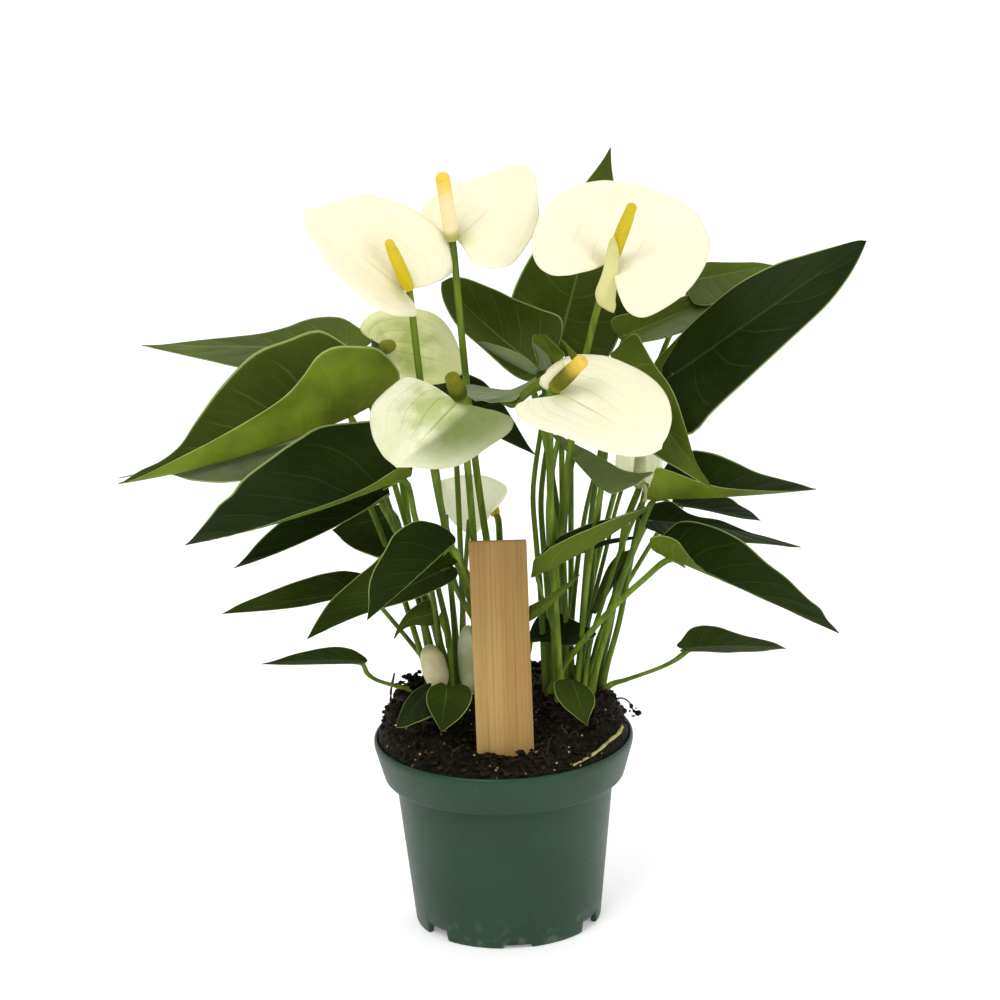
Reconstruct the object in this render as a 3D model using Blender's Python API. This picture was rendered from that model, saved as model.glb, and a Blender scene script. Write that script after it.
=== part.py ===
"""Potted anthurium: a grower's pot, its root ball, a wooden stake, leaves and white blooms.

Lengths in the tables are millimetres. +X is right, +Y is away from the front, +Z is up.
The origin is on the surface that the pot stands on, on the pot's axis.
"""
import math
import random

import bmesh
import bpy
import numpy as np

MM = 0.001
GAP = 0.3
MERGE = 0.02
JOINING = (("EXACT", MERGE), ("EXACT", MERGE / 10), ("MANIFOLD", MERGE), ("MANIFOLD", MERGE / 10))

# Pot
POT_HEIGHT = 90.0
RIM_RADIUS = 60.0
RIM_BAND = 19.0
RIM_TAPER = 4.4
STEP_IN = 5.0
BODY_TOP_RADIUS = 50.4
BASE_RADIUS = 43.3
WALL = 1.2
FLOOR_UNDER = 5.6
FLOOR_THICK = 1.4
FOOT_WIDTH = 2.4
DEEP_NOTCH_TURNS = (-50.0, 60.0, 185.0)
SHALLOW_NOTCH_TURNS = (5.0, 122.0, 247.0)
NOTCH_WIDTH = 13.0
SHALLOW_NOTCH_HEIGHT = 1.8
DRAIN_RADIUS = 4.0
DRAIN_RING = 24.0
POT_SIDES = 40

# Soil
SOIL_SIDES = 32
SOIL_RINGS = 6
SOIL_EDGE_Z = 88.0
SOIL_FRONT_LIFT = 6.5
SOIL_FRONT_END = 46.0
SOIL_BACK_LIFT = 21.0
SOIL_ROUGHNESS = 1.3
ROOT_DEPTH = 12.0

# Stake
STAKE_WIDTH = 26.0
STAKE_THICK = 2.0
STAKE_TOP = 196.0
STAKE_BOTTOM = 72.0
STAKE_Y = -38.0
STAKE_LEAN = 0.5

BLADE_THICK = 0.7
PETIOLE_RADIUS = 1.5
LEFT_CLUMP = (-20.0, 8.0)
RIGHT_CLUMP = (33.0, 8.0)
CLUMP_SPREAD = 0.14
ROOT_SPACING = 5.8
STALK_RADIUS = 1.7
SPADIX_RADIUS = 2.7
SPIKE_SWELL = (.8, .97, 1, 1, .98, .95, .88, .72, .35)
STEM_STEPS = 6
STEM_GAP = 0.7
STEM_ROUNDS = 200
SHEET_GAP = 3.0
SHEET_WATCH = 20.0
STALK_NECK = 3.0
JOINT = 0.03
HELD_STEM = 0.15
BUD_STALK = 1.2
BUD_SWELL = ((0, .2), (.14, .4), (.3, .82), (.48, 1), (.66, .95), (.84, .66), (1, .18))
HIDDEN_SPIKES = ("g",)
FIXED_STEMS = ("a", "b", "c", "leaf_13", "leaf_14", "leaf_10")
UP = np.array((0.0, 0.0, 1.0))

# Half outlines, from the joint with the stem round to the tip: along the midrib, and across
LEAF_EDGE = ((0, 0), (-.045, .17), (-.085, .46), (-.06, .78), (.05, .97), (.20, 1), (.40, .85),
             (.60, .58), (.78, .30), (.91, .10), (1, 0))
SPATHE_EDGE = ((0, 0), (-.05, .12), (-.13, .32), (-.20, .58), (-.13, .86), (.08, 1.0), (.34, .97),
               (.60, .78), (.81, .47), (.94, .19), (1, 0))

# Each leaf: joint with the petiole, tip, width, the way its upper face looks, and shape.
# fold lifts the half on the left and the half on the right, seen from joint to tip.
LEAVES = {
    "leaf_01": dict(base=(-61, 52, 262), tip=(-160, 32, 272), width=50, fold=(-18, 26), taper=.6, lobe=.6),
    "leaf_02": dict(base=(-62, 8, 244), tip=(-168, -35, 227), width=84, fold=(66, 60), arch=-8,
                    lobe=2.4, fade=.15, taper=.15),
    "leaf_03": dict(base=(-68, 10, 234), tip=(-169, -20, 225), width=50, fold=(-25, -10)),
    "leaf_04": dict(base=(-38, -22, 223), tip=(-135, -95, 217), width=70, fold=(28, 44), arch=-6, fade=.3,
                    arrive=(-.3, -.8, .6)),
    "leaf_05": dict(base=(-49, 0, 202), tip=(-117, -60, 194), width=42, fold=(22, 42), arch=3),
    "leaf_06": dict(base=(-65, 12, 161), tip=(-127, -12, 156), width=27, fold=(-10, 8), arch=1, lobe=.5),
    "leaf_07": dict(base=(-22, -16, 178), tip=(-86, -60, 160), width=44, fold=(20, 42), lobe=.5),
    "leaf_08": dict(base=(-23, -36, 200), tip=(-58, -85, 177), width=46, fold=(36, 34), arch=4, lobe=.2,
                    root=(-6, -16), start=(.1, 0, 1), arrive=(-1, -.4, .15)),
    "leaf_09": dict(base=(-51, 24, 186), tip=(-68, 18, 173), width=36, face=(0, -.6, 1), lobe=.5),
    "leaf_10": dict(base=(-64, -5, 127), tip=(-107, -25, 136), width=22, fold=(20, 26), arch=3, lobe=.4,
                    root=(-40, 2), start=(-1, 0, .5), arrive=(-.2, -.1, 1)),
    "leaf_11": dict(base=(-25, -30, 124), tip=(-28, -52, 111), width=21, face=(0, -.8, 1), lobe=1.0,
                    root=(-30, -6)),
    "leaf_12": dict(base=(32, -25, 124), tip=(38, -50, 111), width=22, face=(-.2, -.8, 1), root=(30, -8)),
    "leaf_13": dict(base=(84, -10, 132), tip=(129, -30, 138), width=24, fold=(32, 18), arch=2, lobe=.4,
                    root=(47, 4), start=(1, -.1, .5), arrive=(.7, -.2, .8)),
    "leaf_14": dict(base=(74, -35, 186), tip=(148, -90, 166), width=48, fold=(34, 44), arch=11, fade=.6, lobe=.4,
                    root=(22, -2), start=(.5, -.2, 1), arrive=(1, -.4, .9)),
    "leaf_15": dict(base=(68, -20, 208), tip=(142, -45, 218), width=46, fold=(44, 52), arch=3, lobe=.4),
    "leaf_16": dict(base=(81, 22, 192), tip=(121, 14, 185), width=28, fold=(30, 15)),
    "leaf_17": dict(base=(66, 3, 190), tip=(137, -18, 182), width=40, fold=(36, 15), arch=5),
    "leaf_18": dict(base=(83, 22, 243), tip=(171, 25, 313), width=53, face=(-.5, -1, .6), fold=14),
    "leaf_19": dict(base=(66, 80, 262), tip=(131, 98, 286), width=34, fold=(42, 15)),
    "leaf_20": dict(base=(59, 46, 265), tip=(104, 70, 276), width=38, face=(0, -.3, 1), fold=(42, 25), lobe=.4),
    "leaf_21": dict(base=(55, 4, 265), tip=(95, -55, 223), width=35, face=(.2, -.8, 1), fold=(42, 15), lobe=1.8),
    "leaf_22": dict(base=(24, 15, 258), tip=(-22, 35, 297), width=50, face=(0, -.5, 1), fold=(30, 34), arch=-5),
    "leaf_23": dict(base=(31, 64, 257), tip=(59, 98, 342), width=54, face=(0, -1, .7)),
    "leaf_24": dict(base=(22, -10, 266), tip=(-15, -18, 260), width=34, fold=(50, 50), arch=-5, lobe=3.2),
    "leaf_25": dict(base=(-19, 18, 247), tip=(19, 5, 222), width=34, fold=(38, 8)),
    "leaf_26": dict(base=(48, -30, 216), tip=(26, 5, 232), width=30, face=(0, .3, 1)),
    "leaf_27": dict(base=(17, -26, 176), tip=(72, -26, 205), width=15, fold=(35, 35), arch=8),
    "leaf_28": dict(base=(13, 0, 135), tip=(44, -5, 139), width=24, face=(0, -.5, 1), root=(9, 0)),
    "leaf_29": dict(base=(-30, 55, 235), tip=(-58, 98, 255), width=40),
    "leaf_30": dict(base=(35, 58, 225), tip=(58, 98, 235), width=40),
    "leaf_31": dict(base=(-33, -22, 121), tip=(-48, -50, 113), width=19, face=(0, -.6, 1), root=(-37, -12)),
}

BLOOMS = {
    "a": dict(base=(-39, -22, 309), tip=(-80, -44, 352), width=62, face=(.24, -.78, .58), fold=(40, 14),
              spike=(-44, -36, 335), root=(-14, 2), arrive=(-.02, 0, 1), lobe=1.0, seat=2.9),
    "b": dict(base=(-14, -2, 326), tip=(23, 34, 351), width=52, face=(0, -1, 1),
              spike=(-20, -12, 361), root=(6, 10)),
    "c": dict(base=(54, -15, 317), tip=(68, 45, 338), width=86, face=(.15, -1, 1), fold=(18, 8), lobe=2.7,
              spike=(64, -22, 345), root=(20, 14), arrive=(.4, 0, 1)),
    "d": dict(base=(-46, 34, 266), tip=(-11, 34, 256), width=48, face=(0, -1, .35), lobe=2.2,
              spike=(-46, 12, 274), root=(-28, 14)),
    "e": dict(base=(-16, -45, 263), tip=(-43, -75, 243), width=60, face=(.1, -.7, 1), fold=(5, -18), lobe=.9,
              spike=(-18, -56, 278), root=(-8, -8), seat=.4),
    "f": dict(base=(30, -40, 264), tip=(73, -62, 244), width=63, face=(0, -.8, 1), fold=(-8, 26), lobe=1.3,
              spike=(40, -52, 283), root=(28, -4)),
    "g": dict(base=(-3, 50, 181), tip=(-26, 45, 199), width=30, face=(0, 1, 0), lobe=.2,
              spike=(-8, 60, 196), root=(0, 30)),
    "h": dict(base=(65, 5, 210), tip=(67, 15, 242), width=22, face=(0, -1, 0), lobe=.4,
              spike=(66, -6, 228), root=(44, 14)),
}

BUDS = {
    "bud_1": dict(root=(-37, -4), tip=(-35, -8, 133), width=10.5),
    "bud_2": dict(root=(-17, 0), tip=(-19, -2, 142), width=9),
    "bud_3": dict(root=(44, 22), tip=(45, 22, 119), width=8),
}


def unit(vector):
    return vector / max(np.linalg.norm(vector), 1e-9)


def spline(points, at):
    """Catmull-Rom curve through points, read at places from 0 to 1."""
    points = np.array(points, float)
    padded = np.vstack([2 * points[0] - points[1], points, 2 * points[-1] - points[-2]])
    place = np.clip(np.asarray(at, float), 0, 1) * (len(points) - 1)
    span = np.minimum(place.astype(int), len(points) - 2)
    t = (place - span)[:, None]
    p0, p1, p2, p3 = (padded[span + k] for k in range(4))
    return 0.5 * (2 * p1 + (p2 - p0) * t + (2 * p0 - 5 * p1 + 4 * p2 - p3) * t ** 2
                  + (3 * p1 - p0 - 3 * p2 + p3) * t ** 3)


class Blade:
    """A leaf or spathe: a curved midrib with a folded, cupped and waved sheet across it."""

    def __init__(self, base, tip, width, edge, face=(0, 0, 1), fold=12, fade=.5, cup=0, arch=0, bow=0,
                 twist=0, wave=0, waves=3, lobe=1, taper=0, **_):
        self.base, self.tip = np.array(base, float), np.array(tip, float)
        self.half = width / 2
        self.edge = [(x * lobe, y) if x < 0 else (x, y * (1 - taper * x)) for x, y in edge]
        self.fade = fade
        along = unit(self.tip - self.base)
        up = np.array(face, float)
        self.up = unit(up - along * (up @ along))
        self.side = np.cross(self.up, along)
        self.fold = np.radians(fold if isinstance(fold, (tuple, list)) else (fold, fold))
        self.cup = math.radians(cup)
        self.twist = math.radians(twist)
        self.mid = (self.base + self.tip) / 2 + arch * self.up + bow * self.side
        self.wave, self.waves = wave, waves

    def frame(self, u):
        """Midrib point, side and up directions at places u along the midrib."""
        u = np.asarray(u, float)[..., None]
        point = (1 - u) ** 2 * self.base + 2 * u * (1 - u) * self.mid + u ** 2 * self.tip
        ahead = (1 - u) * (self.mid - self.base) + u * (self.tip - self.mid)
        ahead = ahead / np.linalg.norm(ahead, axis=-1, keepdims=True)
        side = self.side - ahead * (ahead @ self.side)[..., None]
        side = side / np.linalg.norm(side, axis=-1, keepdims=True)
        up = np.cross(ahead, side)
        turn = self.twist * u
        return point, side * np.cos(turn) + up * np.sin(turn), up * np.cos(turn) - side * np.sin(turn)

    def place(self, u, across, along_edge):
        """Points and normals of the sheet at u along the midrib and across from -1 to 1."""
        point, side, up = self.frame(u)
        sign = np.sign(across)
        fold = np.where(across >= 0, self.fold[0], self.fold[1]) * (1 - self.fade * np.clip(u, 0, 1))
        lean = fold + self.cup * np.abs(across)
        mean = fold + self.cup * np.abs(across) / 2
        reach = np.abs(across) * self.half
        out = reach * np.cos(mean)
        rise = reach * np.sin(mean)
        rise = rise + self.wave * across ** 2 * np.sin(2 * np.pi * self.waves * along_edge + sign)
        normal = up * np.cos(lean)[..., None] - side * (sign * np.sin(lean))[..., None]
        return point + side * (sign * out)[..., None] + up * rise[..., None], normal

    def half_grid(self, sign, rows, cols):
        """Sheet points of one half: rows run round the margin, columns out from the midrib."""
        turn = np.arange(1, rows) / rows
        edge = spline(self.edge, turn)
        root = turn ** 2.4
        out = np.arange(0, cols + 1) / cols
        u = root[:, None] + (edge[:, :1] - root[:, None]) * out
        across = sign * edge[:, 1:] * out
        return self.place(u, across, np.repeat(turn[:, None], cols + 1, 1))


def blade_mesh(blade, rows, cols, thick):
    """Vertices and faces of the closed blade solid, both faces split alike."""
    ends, ends_up = blade.place(np.array([0.0, 1.0]), np.array([0.0, 0.0]), np.zeros(2))
    verts, faces = [], []

    def add(points, normals):
        start = len(verts)
        flat = points.reshape(-1, 3), normals.reshape(-1, 3)
        for shift in (0.5, -0.5):
            verts.extend(flat[0] + flat[1] * shift * thick)
        return start, len(flat[0])

    pole, poles = add(ends, ends_up)
    left, left_up = blade.half_grid(1, rows, cols)
    right, right_up = blade.half_grid(-1, rows, cols)
    rib, ribs = add(left[:, 0], (left_up[:, 0] + right_up[:, 0]) / 2)
    for sign, points, normals in ((1, left, left_up), (-1, right, right_up)):
        start, count = add(points[:, 1:], normals[:, 1:])

        def at(row, col, low):
            if row in (0, rows):
                return pole + low * poles + (row == rows)
            if col == 0:
                return rib + low * ribs + row - 1
            return start + low * count + (row - 1) * cols + col - 1

        def put(*loop):
            loop = list(dict.fromkeys(loop))
            if len(loop) > 2:
                faces.append(loop if sign > 0 else loop[::-1])

        for row in range(rows):
            for col in range(cols):
                for low in (0, 1):
                    a, b = at(row, col, low), at(row + 1, col, low)
                    c, d = at(row + 1, col + 1, low), at(row, col + 1, low)
                    for loop in ((a, b, c), (a, c, d)):
                        put(*(loop[::-1] if low else loop))
            put(at(row, cols, 0), at(row + 1, cols, 0), at(row + 1, cols, 1), at(row, cols, 1))
    return verts, faces


def tube_mesh(path, radii, sides, relief=0.0):
    """Vertices and faces of a closed tube along path; relief raises every other point."""
    path = np.array(path, float)
    ahead = np.gradient(path, axis=0)
    ahead /= np.linalg.norm(ahead, axis=1, keepdims=True)
    side = unit(np.cross(ahead[0], (0.0, 1.0, 0.1)))
    verts, faces = [], []
    for ring, (point, way, radius) in enumerate(zip(path, ahead, radii)):
        side = unit(side - way * (side @ way))
        other = np.cross(way, side)
        for k in range(sides):
            turn = 2 * math.pi * k / sides
            raised = radius * (1 + relief * (1 if (k + ring) % 2 else -1))
            verts.append(point + raised * (side * math.cos(turn) + other * math.sin(turn)))
    for ring in range(len(path) - 1):
        for k in range(sides):
            a, b = ring * sides + k, ring * sides + (k + 1) % sides
            faces.append([a, b, b + sides, a + sides])
    faces.append(list(range(sides))[::-1])
    faces.append([(len(path) - 1) * sides + k for k in range(sides)])
    return verts, faces


def material(name, colour, roughness):
    made = bpy.data.materials.new(name)
    made.use_nodes = True
    shader = made.node_tree.nodes["Principled BSDF"]
    shader.inputs["Base Color"].default_value = (*colour, 1)
    shader.inputs["Roughness"].default_value = roughness
    shader.inputs["Metallic"].default_value = 0
    return made


def add_object(name, verts, faces, colour, roughness=0.5):
    mesh = bpy.data.meshes.new(name)
    mesh.from_pydata([tuple(float(c) * MM for c in v) for v in verts], [], faces)
    made = bpy.data.objects.new(name, mesh)
    made.data.materials.append(material(name, colour, roughness))
    bpy.context.collection.objects.link(made)
    return made


def combine(target, tool, operation):
    """Applies a Boolean with another object, and removes that object."""
    step = target.modifiers.new("join", "BOOLEAN")
    step.operation = operation
    step.object = tool
    for solver, merge in JOINING:
        step.solver = solver
        graph = bpy.context.evaluated_depsgraph_get()
        result = bpy.data.meshes.new_from_object(target.evaluated_get(graph))
        shape = bmesh.new()
        shape.from_mesh(result)
        bmesh.ops.remove_doubles(shape, verts=shape.verts, dist=merge * MM)
        bmesh.ops.dissolve_degenerate(shape, edges=shape.edges, dist=merge * MM)
        closed = len(shape.faces) > 0 and all(len(edge.link_faces) == 2 for edge in shape.edges)
        shape.to_mesh(result)
        shape.free()
        if closed:
            break
    else:
        raise RuntimeError("joining %s left it open" % target.name)
    target.modifiers.clear()
    old = target.data
    target.data = result
    bpy.data.meshes.remove(old)
    bpy.data.objects.remove(tool)


def soil_height(x, y):
    """Top of the root ball: steep at the rim, nearly level inside, lower in front."""
    reach = min(math.hypot(x, y) / (RIM_RADIUS - 1.5), 1)
    back = min(max((y + SOIL_FRONT_END) / SOIL_FRONT_END, 0), 1)
    lift = SOIL_FRONT_LIFT + (SOIL_BACK_LIFT - SOIL_FRONT_LIFT) * back
    return SOIL_EDGE_Z + lift * (1 - reach ** 12)


def turned(name, profile, sides, colour, roughness):
    """A closed profile of (radius, height) turned about the vertical axis."""
    shape = bmesh.new()
    points = [shape.verts.new((r * MM, 0, z * MM)) for r, z in profile]
    edges = [shape.edges.new((points[k], points[(k + 1) % len(points)])) for k in range(len(points))]
    bmesh.ops.spin(shape, geom=points + edges, axis=(0, 0, 1), cent=(0, 0, 0), steps=sides,
                   angle=2 * math.pi, use_merge=True)
    bmesh.ops.remove_doubles(shape, verts=shape.verts, dist=1e-6)
    on_axis = [e for e in shape.edges if all(math.hypot(v.co.x, v.co.y) < 1e-7 for v in e.verts)]
    bmesh.ops.delete(shape, geom=on_axis, context="EDGES")
    bmesh.ops.recalc_face_normals(shape, faces=shape.faces)
    mesh = bpy.data.meshes.new(name)
    shape.to_mesh(mesh)
    shape.free()
    made = bpy.data.objects.new(name, mesh)
    made.data.materials.append(material(name, colour, roughness))
    bpy.context.collection.objects.link(made)
    return made


def box_mesh(low, high):
    xs, ys, zs = zip(low, high)
    verts = [(x, y, z) for z in zs for y in ys for x in xs]
    return verts, [(0, 2, 3, 1), (4, 5, 7, 6), (0, 1, 5, 4), (2, 6, 7, 3), (0, 4, 6, 2), (1, 3, 7, 5)]


def turn_about_z(verts, degrees):
    c, s = math.cos(math.radians(degrees)), math.sin(math.radians(degrees))
    return [(x * c - y * s, x * s + y * c, z) for x, y, z in verts]


def build_pot():
    band_z = POT_HEIGHT - RIM_BAND
    band_radius = RIM_RADIUS - RIM_TAPER
    foot = BASE_RADIUS - FOOT_WIDTH
    profile = [
        (foot, 0), (BASE_RADIUS - 0.8, 0), (BASE_RADIUS, 0.9), (BODY_TOP_RADIUS, band_z - 1.6),
        (BODY_TOP_RADIUS + 0.8, band_z - 0.3), (band_radius - 1.0, band_z), (band_radius, band_z + 1.2),
        (RIM_RADIUS - 0.5, POT_HEIGHT - 2.2), (RIM_RADIUS, POT_HEIGHT - 1.2), (RIM_RADIUS - 0.4, POT_HEIGHT - 0.2),
        (RIM_RADIUS - 1.2, POT_HEIGHT), (RIM_RADIUS - 1.7, POT_HEIGHT - 0.8),
        (band_radius - WALL, band_z + 1.8), (BODY_TOP_RADIUS - WALL, band_z + 0.4),
        (BASE_RADIUS - WALL + 0.6, FLOOR_UNDER + FLOOR_THICK), (0, FLOOR_UNDER + FLOOR_THICK),
        (0, FLOOR_UNDER), (foot, FLOOR_UNDER)]
    pot = turned("pot", profile, POT_SIDES, (.035, .075, .048), 0.4)
    for turns, height in ((DEEP_NOTCH_TURNS, FLOOR_UNDER - 0.4), (SHALLOW_NOTCH_TURNS, SHALLOW_NOTCH_HEIGHT)):
        for turn in turns:
            verts, faces = box_mesh((-NOTCH_WIDTH / 2, -BASE_RADIUS - 2, -1),
                                    (NOTCH_WIDTH / 2, -BASE_RADIUS + FOOT_WIDTH + 3, height))
            combine(pot, add_object("notch", turn_about_z(verts, turn), faces, (0, 0, 0)), "DIFFERENCE")
    for k in range(5):
        x, y, z = turn_about_z([(DRAIN_RING if k else 0, 0, 0)], 90 * k)[0]
        hole = tube_mesh([(x, y, FLOOR_UNDER - 2), (x, y, FLOOR_UNDER + FLOOR_THICK + 2)],
                         [DRAIN_RADIUS] * 2, 8)
        combine(pot, add_object("drain", *hole, (0, 0, 0)), "DIFFERENCE")
    return pot


def build_soil(stems):
    """The root ball: fills the pot with a small gap, with a hole for each stem and the stake."""
    band_z = POT_HEIGHT - RIM_BAND
    levels = [(BASE_RADIUS - WALL + 0.2, FLOOR_UNDER + FLOOR_THICK + GAP),
              (BODY_TOP_RADIUS - WALL - 0.5, band_z + 0.6), (RIM_RADIUS - RIM_TAPER - WALL - 0.5, band_z + 2.4),
              (RIM_RADIUS - 2.3, SOIL_EDGE_Z)]
    rough = random.Random(4)
    verts, faces = [(0, 0, levels[0][1])], []

    def ring(radius, height, jitter=0.0):
        for k in range(SOIL_SIDES):
            turn = 2 * math.pi * (k + 0.5 * (jitter > 0)) / SOIL_SIDES
            x, y = radius * math.cos(turn), radius * math.sin(turn)
            z = soil_height(x, y) if height is None else height
            verts.append((x, y, z + rough.uniform(-jitter, jitter)))

    for radius, height in levels:
        ring(radius, height)
    edge = levels[-1][0]
    for step in range(1, SOIL_RINGS):
        ring(edge * (1 - (step / SOIL_RINGS) ** 1.3), None, SOIL_ROUGHNESS)
    verts.append((0, 0, soil_height(0, 0)))
    rings = (len(verts) - 2) // SOIL_SIDES
    for k in range(SOIL_SIDES):
        after = (k + 1) % SOIL_SIDES
        faces.append((0, 1 + after, 1 + k))
        for level in range(rings - 1):
            a, b = 1 + level * SOIL_SIDES + k, 1 + level * SOIL_SIDES + after
            faces += [(a, b, b + SOIL_SIDES), (a, b + SOIL_SIDES, a + SOIL_SIDES)]
        last = 1 + (rings - 1) * SOIL_SIDES
        faces.append((last + k, last + after, len(verts) - 1))
    soil = add_object("soil", verts, faces, (.012, .009, .006), 0.95)
    for path, radius in stems:
        way = unit(path[1] - path[0])
        wide = (radius + GAP + 0.1) / math.cos(math.pi / 6)
        hole = tube_mesh([path[0] - way * GAP * 2, path[0] + way * (ROOT_DEPTH + 12)], [wide] * 2, 6)
        combine(soil, add_object("hole", *hole, (0, 0, 0)), "DIFFERENCE")
    slot = GAP + 0.1
    verts, faces = box_mesh((-STAKE_WIDTH / 2 - slot, -STAKE_THICK / 2 - slot, STAKE_BOTTOM - 1),
                            (STAKE_WIDTH / 2 + slot, STAKE_THICK / 2 + slot, STAKE_TOP))
    combine(soil, add_object("slot", stake_place(verts), faces, (0, 0, 0)), "DIFFERENCE")
    return soil


def stake_place(verts):
    lean = math.tan(math.radians(STAKE_LEAN))
    return [(x + 0.8 - (z - POT_HEIGHT) * lean, y + STAKE_Y, z) for x, y, z in verts]


def build_stake():
    verts, faces = box_mesh((-STAKE_WIDTH / 2, -STAKE_THICK / 2, STAKE_BOTTOM),
                            (STAKE_WIDTH / 2, STAKE_THICK / 2, STAKE_TOP))
    return add_object("stake", stake_place(verts), faces, (.45, .3, .13), 0.6)


def stem_path(root, top, start=None, arrive=None):
    """A stem from its root to its top: straight in the soil, then a curve that bends outwards."""
    root = np.array((*root, soil_height(*root)), float)
    top = np.array(top, float)
    span = np.linalg.norm(top - root)
    out = unit((top - root) * (1, 1, 0))
    way = unit(np.array(start or out * 0.25 + UP, float))
    end = unit(np.array(arrive or out * 0.8 + UP, float))
    foot = unit(way + 0.8 * UP)
    first = root + foot * 3
    one, two = first + way * span * 0.35, top - end * span * 0.3
    t = np.linspace(0, 1, STEM_STEPS)[:, None]
    curve = (1 - t) ** 3 * first + 3 * t * (1 - t) ** 2 * one + 3 * t ** 2 * (1 - t) * two + t ** 3 * top
    return np.vstack([root - foot * ROOT_DEPTH, curve])


def nearest(a, b, c, d):
    """Closest places, from 0 to 1, on the lines a to b and c to d, for whole arrays."""
    u, v, w = b - a, d - c, a - c
    uu, uv, vv = (u * u).sum(-1), (u * v).sum(-1), (v * v).sum(-1)
    uw, vw = (u * w).sum(-1), (v * w).sum(-1)
    s = np.clip((uv * vw - vv * uw) / np.maximum(uu * vv - uv * uv, 1e-6), 0, 1)
    t = np.clip((uv * s + vw) / np.maximum(vv, 1e-6), 0, 1)
    return np.clip((uv * t - uw) / np.maximum(uu, 1e-6), 0, 1), t


def part_stems(paths, radii, holds, sheets):
    """Moves stems clear of each other and of the blades, a little at a time; ends stay."""
    points = np.array(paths)
    count, steps = points.shape[:2]
    owner = np.repeat(np.arange(count), steps - 1)
    index = np.tile(np.arange(steps - 1), count)
    radii = np.array(radii)
    one, two = np.triu_indices(len(owner), 1)
    other = owner[one] != owner[two]
    one, two = one[other], two[other]
    need = radii[owner[one]] + radii[owner[two]] + STEM_GAP
    by, grains = [], []
    for who, grid in sheets:
        for k in np.flatnonzero(owner != who):
            middle = (points[owner[k], index[k]] + points[owner[k], index[k] + 1]) / 2
            reach = np.linalg.norm(points[owner[k], index[k]] - middle) + SHEET_WATCH
            close = grid[np.linalg.norm(grid - middle, axis=1) < reach]
            by.append(np.full(len(close), k))
            grains.append(close)
    by, grains = np.concatenate(by), np.concatenate(grains)
    hold = np.repeat(np.array(holds)[:, None, None], steps, axis=1)
    hold[:, (0, 1, -1)] = 0
    for _ in range(STEM_ROUNDS):
        starts, ends = points[owner, index], points[owner, index + 1]
        move = np.zeros_like(points)
        s, t = nearest(starts[one], ends[one], starts[two], ends[two])
        apart = (starts[one] + (ends - starts)[one] * s[:, None]
                 - starts[two] - (ends - starts)[two] * t[:, None])
        along = (ends - starts)[by]
        place = np.clip(((grains - starts[by]) * along).sum(1) / (along * along).sum(1), 0, 1)
        clear = starts[by] + along * place[:, None] - grains
        for pick, share, gap, wish in ((one, s, apart, need), (two, t, -apart, need),
                                       (by, place, clear, radii[owner[by]] + SHEET_GAP)):
            reach = np.linalg.norm(gap, axis=1)
            near = reach < wish
            push = gap[near] * ((wish - reach)[near] / np.maximum(reach[near], 0.05) * 0.5)[:, None]
            pick, share = pick[near], share[near, None]
            np.add.at(move, (owner[pick], index[pick]), push * (1 - share))
            np.add.at(move, (owner[pick], index[pick] + 1), push * share)
        points += np.clip(move, -1, 1) * hold
        smooth = (points[:, :-2] + points[:, 2:]) / 2 - points[:, 1:-1]
        points[:, 1:-1] += smooth * hold[:, 1:-1] * 0.02
    return list(points)


def leaf_root(leaf):
    """Leaves on the left stand in the left clump, the others in the right one."""
    clump = np.array(LEFT_CLUMP if leaf["base"][0] < 5 else RIGHT_CLUMP, float)
    out = np.array(leaf["base"][:2], float) - clump
    return clump + out * CLUMP_SPREAD


def spread_roots():
    """Roots pushed apart until each has its own hole."""
    names = [*LEAVES, *BLOOMS, *BUDS]
    rows = {**LEAVES, **BLOOMS, **BUDS}
    places = np.array([rows[n].get("root", None) if "root" in rows[n] else leaf_root(rows[n]) for n in names],
                      float)
    for _ in range(200):
        apart = places[:, None] - places[None]
        reach = np.linalg.norm(apart, axis=2) + np.eye(len(places)) * 99
        push = np.clip(ROOT_SPACING - reach, 0, None)[..., None] * apart / np.maximum(reach, .01)[..., None]
        places += push.sum(1) * 0.4
    return dict(zip(names, places))


def leaf_blade(leaf):
    return Blade(edge=LEAF_EDGE, **leaf)


def bloom_axis(bloom):
    """The spathe, the place where its spike starts in the notch, and the way the spike stands."""
    blade = Blade(edge=SPATHE_EDGE, **bloom)
    point, side, up = blade.frame(np.array([0.0, 0.05]))
    foot = point[0] - unit(point[1] - point[0]) * (STALK_RADIUS + bloom.get("seat", 1.8)) + up[0] * 2.0
    return blade, foot, unit(np.array(bloom["spike"], float) - foot)


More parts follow.
